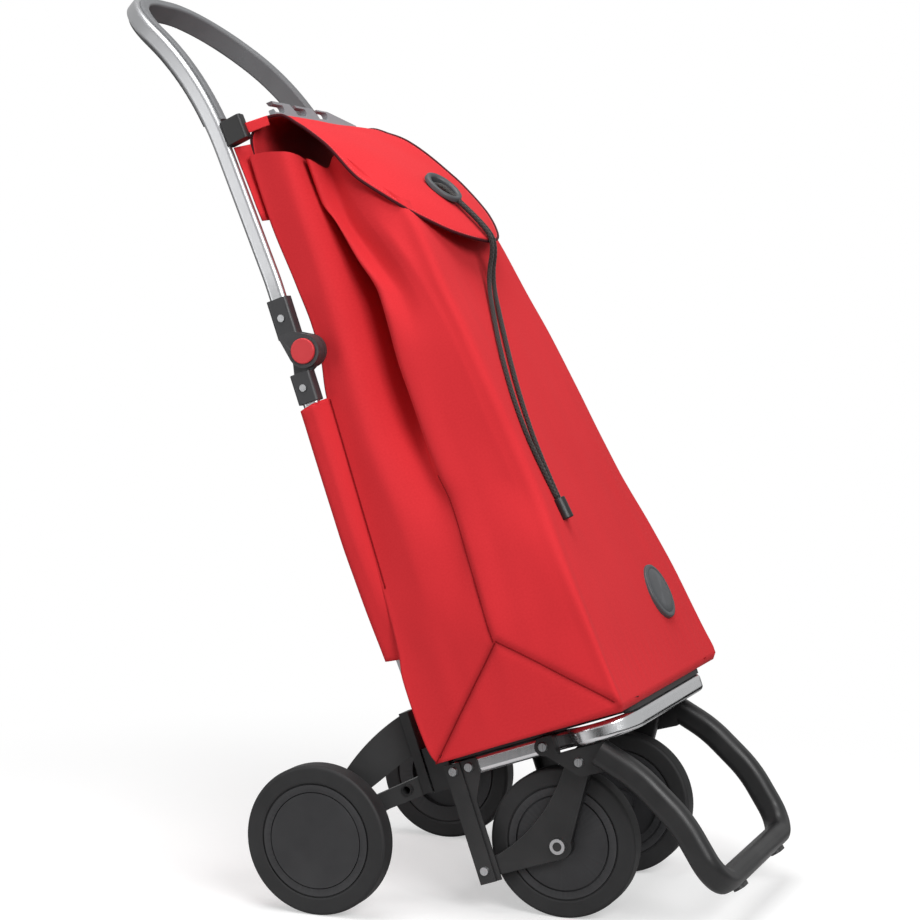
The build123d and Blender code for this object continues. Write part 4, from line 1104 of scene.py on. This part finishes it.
@dataclass
class Cord:
    """Doubled drawcord from the eyelet down the front of the bag."""

    # Route points from the solid model, drawn up to 9 mm away from it where the strands hang free:
    # x of the left strand, x of the right strand, and the y and z of both, in metres.
    route: tuple[tuple[float, float, float, float], ...] = (
        (-0.004, -0.01, 0.01747, 0.79834), (-0.004, -0.01, 0.00573, 0.80138), (-0.004, -0.01, -0.01288, 0.78607),
        (-0.0005, -0.0065, -0.04648, 0.7546), (0.0019, -0.0061, -0.06147, 0.73396),
        (0.007, -0.007, -0.05378, 0.69279), (-0.02781, -0.04881, -0.07775, 0.64562),
        (-0.06049, -0.08349, -0.10172, 0.59846), (-0.08649, -0.10749, -0.1257, 0.55129),
        (-0.1033, -0.1173, -0.14967, 0.50413), (-0.1073, -0.1133, -0.17364, 0.45696))
    diameter: float = 5.2
    # Lean points (b, h) between which a strand passes from the flap to the bag's top.
    bend_start: Pair = (-204.0, 566.0)
    bend_end: Pair = (-190.0, 500.0)

    def line(self, name: str, points: Sequence[Point]) -> np.ndarray:
        """Points read from the route's own smooth spline.

        Args:
            name: Name of the strand.
            points: Control points in metres.

        Returns:
            Points along the spline in metres.
        """
        curve = bpy.data.curves.new(name + "_line", "CURVE")
        curve.dimensions = "3D"
        curve.resolution_u = 24
        spline = curve.splines.new("NURBS")
        spline.points.add(len(points) - 1)
        for place, point in zip(spline.points, points):
            place.co = (*point, 1.0)
        spline.order_u = 3
        spline.use_endpoint_u = True
        route = add_object(name + "_line", curve)
        shape = evaluated(route)
        found = np.array([v.co for v in shape.vertices], float)
        bpy.data.objects.remove(route)
        bpy.data.meshes.remove(shape)
        return found

    def dress(self) -> None:
        start, end = Lean.at(0, *self.bend_start), Lean.at(0, *self.bend_end)
        for column, hand in enumerate(Hand):
            name = "drawcord_strand_" + hand.name.lower()
            path = self.line(name, [(row[column], *row[2:]) for row in self.route])
            strand = tube_piece(name, path, self.diameter / 2, Finishes.cord)
            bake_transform(strand)
            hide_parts("drawcord_" + hand.name.lower())


@dataclass
class Badge:
    """Plain round badge standing a little out of the front cloth."""

    centre: Point = (80.0, -231.5, 116.0)
    up: Pair = (-0.990, 0.139)
    radius: float = 33.0
    # Inset from the rim and height above the flat front, in millimetres.
    profile: Table = ((0.0, 0.0), (0.0, 5.6), (0.4, 6.6), (1.4, 7.2), (4.6, 7.4), (5.2, 6.9), (6.0, 6.9), (6.6, 7.4),
                      (16.0, 7.8), (32.99, 8.0))
    turns: int = 64

    def build(self) -> bpy.types.Object:
        """Turn the profile round the middle of the badge."""
        up = Vector((0.0, *self.up))
        along = Vector((0.0, self.up[1], -self.up[0]))
        points = []
        for turn in range(self.turns):
            angle = 2 * math.pi * turn / self.turns
            outward = Vector((math.cos(angle), 0.0, 0.0)) + along * math.sin(angle)
            points.extend(Vector(self.centre) + outward * (self.radius - inset) + up * rise
                          for inset, rise in self.profile)
        faces = turned_faces(self.turns, len(self.profile))
        return mesh_piece("front_badge", Lean.array(np.array(points)), faces, Finishes.slate)

    def dress(self) -> None:
        """Set the badge on the bag."""
        piece = self.build()
        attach(piece, "frame")
        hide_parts("badge")
        LOG.info("%s on frame", piece.name)


@dataclass
class Tabs:
    """Cloth strips that tie the rear corners of the bag to the handle clips."""

    strip: Guide = ((149.0, -4.5, 641.0), (131.0, -10.5, 641.0), (131.0, -10.5, 729.0), (146.5, 3.0, 729.0))
    tab: Guide = ((146.0, -18.0, 738.0), (130.0, -40.0, 741.0), (130.0, -40.0, 752.0), (146.0, -18.0, 750.0))
    ripple: Ripple = Ripple((0.05, 0.05, 0.05), 0.8)
    thickness: float = 1.8
    steps: int = 10

    def patch(self, name: str, corners: Sequence[Point], sign: int) -> bpy.types.Object:
        """Make one four-cornered strip of cloth.

        Args:
            name: Name of the strip.
            corners: Lean points of the left strip, round its edge.
            sign: Side of the trolley.

        Returns:
            The strip.
        """
        first, second, third, fourth = (np.array(corner) for corner in corners)
        grid = np.zeros((self.steps, self.steps, 3))
        for row, up in enumerate(np.linspace(0, 1, self.steps)):
            for column, across in enumerate(np.linspace(0, 1, self.steps)):
                low = first * (1 - across) + second * across
                high = fourth * (1 - across) + third * across
                point = low * (1 - up) + high * up
                grid[row, column] = point * (sign, 1, 1)
                grid[row, column, 1] += self.ripple.at(*point)
        faces = grid_faces(self.steps, self.steps, closed=False, flip=sign < 0)
        uv = grid[..., (0, 2)].reshape(-1, 2) * MM
        piece = mesh_piece(name, Lean.array(grid).reshape(-1, 3), faces, Finishes.cloth, uv)
        return thickened(piece, self.thickness, offset=0.0)

    def dress(self, bag: Bag) -> None:
        """Set both pairs of strips on the bag.

        Args:
            bag: Bag that sets the long strips on the frame.
        """
        for hand in Hand:
            for kind, corners in (("strip", self.strip), ("tab", self.tab)):
                piece = self.patch("corner_" + kind + "_" + hand.name.lower(), corners, hand.value)
                if kind == "strip":
                    bag.fold(piece)
                else:
                    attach(piece, "bag_top")
                LOG.info("%s sewn to the bag", piece.name)


@dataclass
class Sleeve:
    """Cloth sleeve round the lower tubes at the back of the bag."""

    low: float = 138.0
    high: float = 426.0
    # Height, half width of the sleeve, and half width of the bag's rear corner that it is sewn to.
    halves: Guide = ((138, 155, 163.0), (210, 165, 160.5), (285, 171, 157.0), (426, 169.5, 150.5))
    # Section of the sleeve, as b: root at the bag, belly, side, and back with its bulge in the middle.
    root: float = -17.0
    belly: float = -10.0
    belly_share: float = 0.7
    side: float = -3.0
    back: float = 14.0
    bulge: float = 1.0
    # Rounding of the rear corners: its whole run and the inset of its middle point.
    turn: float = 8.0
    turn_inset: float = 2.0
    # How far the lower edge drops and the upper one rises from the back to the root.
    drop: float = 4.0
    rise: float = 6.0
    rows: int = 60
    columns: int = 120
    ripple: Ripple = Ripple((0.02, 0.03, 0.012), 0.9, (0.0, 0.0, 2.0))
    # Hems stand proud below and above these shares; the back is where x is this far inside the half width.
    hem: float = 0.5
    hem_shares: Pair = (0.06, 0.95)
    back_inset: float = 6.0
    cloth_size: Pair = (288.0, 420.0)
    thickness: float = 2.0

    def outline(self, half: float, corner: float) -> np.ndarray:
        """Points (x, b) round one row of the sleeve.

        Args:
            half: Half width of the sleeve.
            corner: Half width of the bag's corner.

        Returns:
            One row for each column, closer together at the ends.
        """
        belly = corner * (1 - self.belly_share) + half * self.belly_share
        right = [(-corner, self.root), (-belly, self.belly), (-half, self.side), (-half, self.back - self.turn),
                 (self.turn_inset - half, self.back - self.turn_inset), (self.turn - half, self.back)]
        keys = np.array(right + [(0.0, self.back + self.bulge)] + [(-x, b) for x, b in right[::-1]], float)
        run = run_of(keys)
        places = 0.5 + 0.5 * np.sin((np.linspace(0, 1, self.columns) - 0.5) * math.pi)
        return pchip(run, keys, run[-1] * places)

    def build(self) -> bpy.types.Object:
        """Make the sleeve as one bent sheet with folded hems."""
        table = np.array(self.halves, float)
        shares = np.linspace(0, 1, self.rows)
        levels = self.low + (self.high - self.low) * shares
        grid = np.zeros((self.rows, self.columns, 3))
        for row, (half, corner) in enumerate(pchip(table[:, 0], table[:, 1:], levels)):
            hem = 0.0 if self.hem_shares[0] <= shares[row] <= self.hem_shares[1] else self.hem
            for column, (x, b) in enumerate(self.outline(half, corner)):
                ahead = np.clip((self.back - b) / (self.back - self.root), 0, 1)
                low = self.low - self.drop * ahead
                h = low + (self.high + self.rise * ahead - low) * shares[row]
                proud = self.ripple.at(x, b, h) * (1 - ahead) + hem
                behind = proud if abs(x) < half - self.back_inset else 0.0
                grid[row, column] = (x + math.copysign(proud, x), b + behind, h)
        length, girth = self.cloth_size
        places = np.linspace(0, 1, self.columns)
        coords = np.stack(np.meshgrid(shares * length, places * girth, indexing="ij")[::-1], axis=-1)
        # Painted shade along both edges of the sleeve, where it is sewn to the bag.
        seam = np.zeros(grid.shape[:2])
        seam[:, :2] = 1.0
        seam[:, -2:] = 1.0
        faces = grid_faces(self.rows, self.columns, closed=False, flip=True)
        piece = mesh_piece("rear_sleeve_cloth", Lean.array(grid).reshape(-1, 3), faces, Finishes.cloth,
                           coords.reshape(-1, 2) * MM, seam.reshape(-1))
        return thickened(piece, self.thickness)

    def dress(self) -> None:
        """Set the sleeve on the frame."""
        piece = self.build()
        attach(piece, "frame")
        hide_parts("rear_sleeve")
        LOG.info("%s on frame", piece.name)


@dataclass
class Frame:
    """Solid pieces of the frame, handle and wheels, with their finishes."""

    # Finish by the start of a piece's name; the other pieces are black nylon.
    finishes: tuple[tuple[str, Finish], ...] = (
        ("lower_tube", Finishes.tube), ("handle_tube", Finishes.tube), ("base_loop", Finishes.chrome),
        ("strut", Finishes.paint), ("gusset", Finishes.paint), ("rear_cross_tube", Finishes.paint),
        ("rear_axle", Finishes.paint), ("front_axle", Finishes.paint), ("axle_rings", Finishes.zinc),
        ("frame_rivets", Finishes.zinc), ("hinge_pin", Finishes.zinc), ("hinge_screws", Finishes.zinc),
        ("hinge_lower", Finishes.joint), ("hinge_upper", Finishes.joint), ("tyre", Finishes.tyre),
        ("wheel_", Finishes.disc), ("floor_board", Finishes.board), ("base_board", Finishes.board),
        ("hook_rail", Finishes.grey), ("badge", Finishes.slate), ("release_button", Finishes.button),
        ("handle_grip", Finishes.grip))
    # Width of the rounded edges of the mouldings, in millimetres, by name without the side.
    rounded: tuple[tuple[str, float], ...] = (
        ("foot_bar", 2.0), ("rear_arm", 4.0), ("fork_arm", 2.5), ("corner_block", 1.2), ("hinge_lower", 2.4),
        ("hinge_upper", 2.4), ("hook_rail", 0.8), ("bag_clips", 2.0))
    # Faces that meet at less than the first angle are merged, edges sharper than the second are rounded.
    flat_angle: float = 1.0
    sharp_angle: float = 40.0
    rounding_steps: int = 3

    def finish_of(self, node: str) -> Finish:
        """Finish of a solid piece by its name."""
        for start, finish in self.finishes:
            if node.startswith(start):
                return finish
        return Finishes.nylon

    def soften(self, node: bpy.types.Object, width: float) -> bpy.types.Object:
        """Copy a solid piece with its sharp edges rounded.

        Args:
            node: Solid piece.
            width: Width of the rounding in millimetres.

        Returns:
            The rounded copy.
        """
        mesh = node.data.copy()
        mesh.transform(node.matrix_world)
        shape = bmesh.new()
        shape.from_mesh(mesh)
        bmesh.ops.remove_doubles(shape, verts=shape.verts, dist=2e-5)
        bmesh.ops.dissolve_limit(shape, angle_limit=math.radians(self.flat_angle), verts=shape.verts,
                                 edges=shape.edges)
        shape.to_mesh(mesh)
        shape.free()
        smooth(mesh)
        copy = add_object(node.name + "_rounded", mesh)
        bevel = copy.modifiers.new("rounding", "BEVEL")
        bevel.width = width * MM
        bevel.segments = self.rounding_steps
        bevel.limit_method = "ANGLE"
        bevel.angle_limit = math.radians(self.sharp_angle)
        bevel.harden_normals = False
        copy.modifiers.new("normals", "WEIGHTED_NORMAL")
        return flattened(copy)

    def dress(self, frame: dict) -> None:
        """Give every solid piece its finish and round the mouldings.

        Args:
            frame: Frame as loaded.
        """
        bodies = frame["record"]["behaviour"]["bodies"]
        owner = {name: body for body, names in bodies.items() for name in names}
        widths = dict(self.rounded)
        for name, node in frame["nodes"].items():
            node.data.materials.clear()
            node.data.materials.append(self.finish_of(name).material())
            stem = name.removesuffix("_left").removesuffix("_right")
            if stem in widths:
                copy = self.soften(node, widths[stem])
                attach(copy, owner[name])
                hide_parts(name)
                LOG.info("%s on %s", copy.name, owner[name])


@dataclass(frozen=True)
class Lamp:
    """Square soft lamp: its place, side in metres, power in watts, and the point that it faces."""

    name: str
    place: Point
    size: float
    power: float
    aim: Point = (0.0, 0.0, 0.45)

    def hang(self) -> None:
        """Add the lamp to the scene."""
        data = bpy.data.lights.new(self.name, "AREA")
        data.size = self.size
        data.energy = self.power
        lamp = add_object(self.name, data)
        lamp.location = self.place
        lamp.rotation_euler = (Vector(self.aim) - Vector(self.place)).to_track_quat("-Z", "Y").to_euler()


@dataclass
class Studio:
    """Pale floor, soft lights and the camera."""

    # Camera: place in metres, direction in degrees, focal length and picture side in pixels, sensor in millimetres.
    camera_at: Point = (-2.44203, -0.96931, 0.68288)
    azimuth: float = -68.71
    pitch: float = 4.29
    focal: float = 2298.48
    picture: float = 920.0
    sensor: float = 36.0
    sight: float = 50.0
    # Floor: half its side, grey, glow to the camera, and where it starts and ends turning white, in metres.
    floor_half: float = 6.0
    floor_grey: float = 0.62
    floor_lift: float = 0.46
    floor_near: float = 0.45
    floor_far: float = 1.15
    # Light of the room on the object, and as mirrored in it.
    fill: float = 0.3
    mirrored: float = 0.55
    lamps: tuple[Lamp, ...] = (
        Lamp("key", (-2.1, -2.1, 2.0), 1.4, 70.0), Lamp("top", (-0.3, 0.0, 2.7), 1.6, 38.0),
        Lamp("rear", (-1.9, 1.6, 1.2), 1.2, 6.0), Lamp("low", (-1.4, 1.3, 0.35), 0.6, 3.0, aim=(0.0, 0.2, 0.1)))

    def camera(self) -> None:
        """Set the camera at the photograph's viewing angle."""
        data = bpy.data.cameras.new("camera")
        data.sensor_fit = "HORIZONTAL"
        data.sensor_width = self.sensor
        data.lens = self.focal * self.sensor / self.picture
        data.clip_end = self.sight
        eye = add_object("camera", data)
        turn, tilt = math.radians(self.azimuth), math.radians(self.pitch)
        ahead = -Vector((math.sin(turn) * math.cos(tilt), -math.cos(turn) * math.cos(tilt), math.sin(tilt)))
        eye.location = self.camera_at
        eye.rotation_euler = ahead.to_track_quat("-Z", "Y").to_euler()
        bpy.context.scene.camera = eye

    def floor(self) -> None:
        """Lay a pale floor that keeps the shadow and reads white to the camera."""
        mesh = bpy.data.meshes.new("floor")
        corners = [(x * self.floor_half, y * self.floor_half, 0) for x, y in ((-1, -1), (1, -1), (1, 1), (-1, 1))]
        mesh.from_pydata(corners, [], [(0, 1, 2, 3)])
        floor = add_object("floor", mesh)
        made = bpy.data.materials.new("pale_floor")
        made.use_nodes = True
        tree = made.node_tree
        tree.nodes.clear()
        seen = add_node(tree, "ShaderNodeLightPath").outputs["Is Camera Ray"]
        matt = add_node(tree, "ShaderNodeBsdfDiffuse", {"Color": (self.floor_grey,) * 3 + (1,)})
        lift = add_node(tree, MATHS, {0: seen, 1: self.floor_lift}, operation="MULTIPLY")
        glow, white = (add_node(tree, "ShaderNodeEmission", {"Color": (1, 1, 1, 1), "Strength": strength})
                       for strength in (lift, seen))
        near = add_node(tree, "ShaderNodeAddShader", {0: matt, 1: glow})
        place = add_node(tree, "ShaderNodeNewGeometry").outputs["Position"]
        away = add_node(tree, "ShaderNodeVectorMath", {0: place}, operation="LENGTH").outputs["Value"]
        share = add_node(tree, RANGE, {0: away, 1: self.floor_near, 2: self.floor_far, 3: 0.0, 4: 1.0},
                         interpolation_type="SMOOTHSTEP")
        both = add_node(tree, "ShaderNodeMixShader", {0: share, 1: near, 2: white})
        add_node(tree, "ShaderNodeOutputMaterial", {"Surface": both})
        mesh.materials.append(made)

    def world(self) -> None:
        """Fill the room with even light and show it white."""
        world = bpy.data.worlds.new("studio")
        world.use_nodes = True
        tree = world.node_tree
        tree.nodes.clear()
        path = add_node(tree, "ShaderNodeLightPath").outputs
        gloss = add_node(tree, RANGE, {0: path["Is Glossy Ray"], 1: 0.0, 2: 1.0, 3: self.fill, 4: self.mirrored})
        power = add_node(tree, MATHS, {0: path["Is Camera Ray"], 1: gloss}, operation="MAXIMUM")
        light = add_node(tree, "ShaderNodeBackground", {"Color": (1, 1, 1, 1), "Strength": power})
        add_node(tree, "ShaderNodeOutputWorld", {"Surface": light})
        bpy.context.scene.world = world

    def dress(self) -> None:
        """Set up the whole studio."""
        self.camera()
        self.floor()
        self.world()
        for lamp in self.lamps:
            lamp.hang()
        bpy.context.scene.view_settings.view_transform = "Standard"


def main() -> None:
    """Load the solid model, dress it and set the studio."""
    logging.basicConfig(level=logging.INFO, format="%(message)s")
    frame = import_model()
    Studio().dress()
    Cord().dress()
    Frame().dress(frame)
    bag = Bag()
    bag.dress()
    Flap().dress()
    Eyelet().dress()
    Sleeve().dress()
    Badge().dress()
    Tabs().dress(bag)


if __name__ == "__main__":
    main()
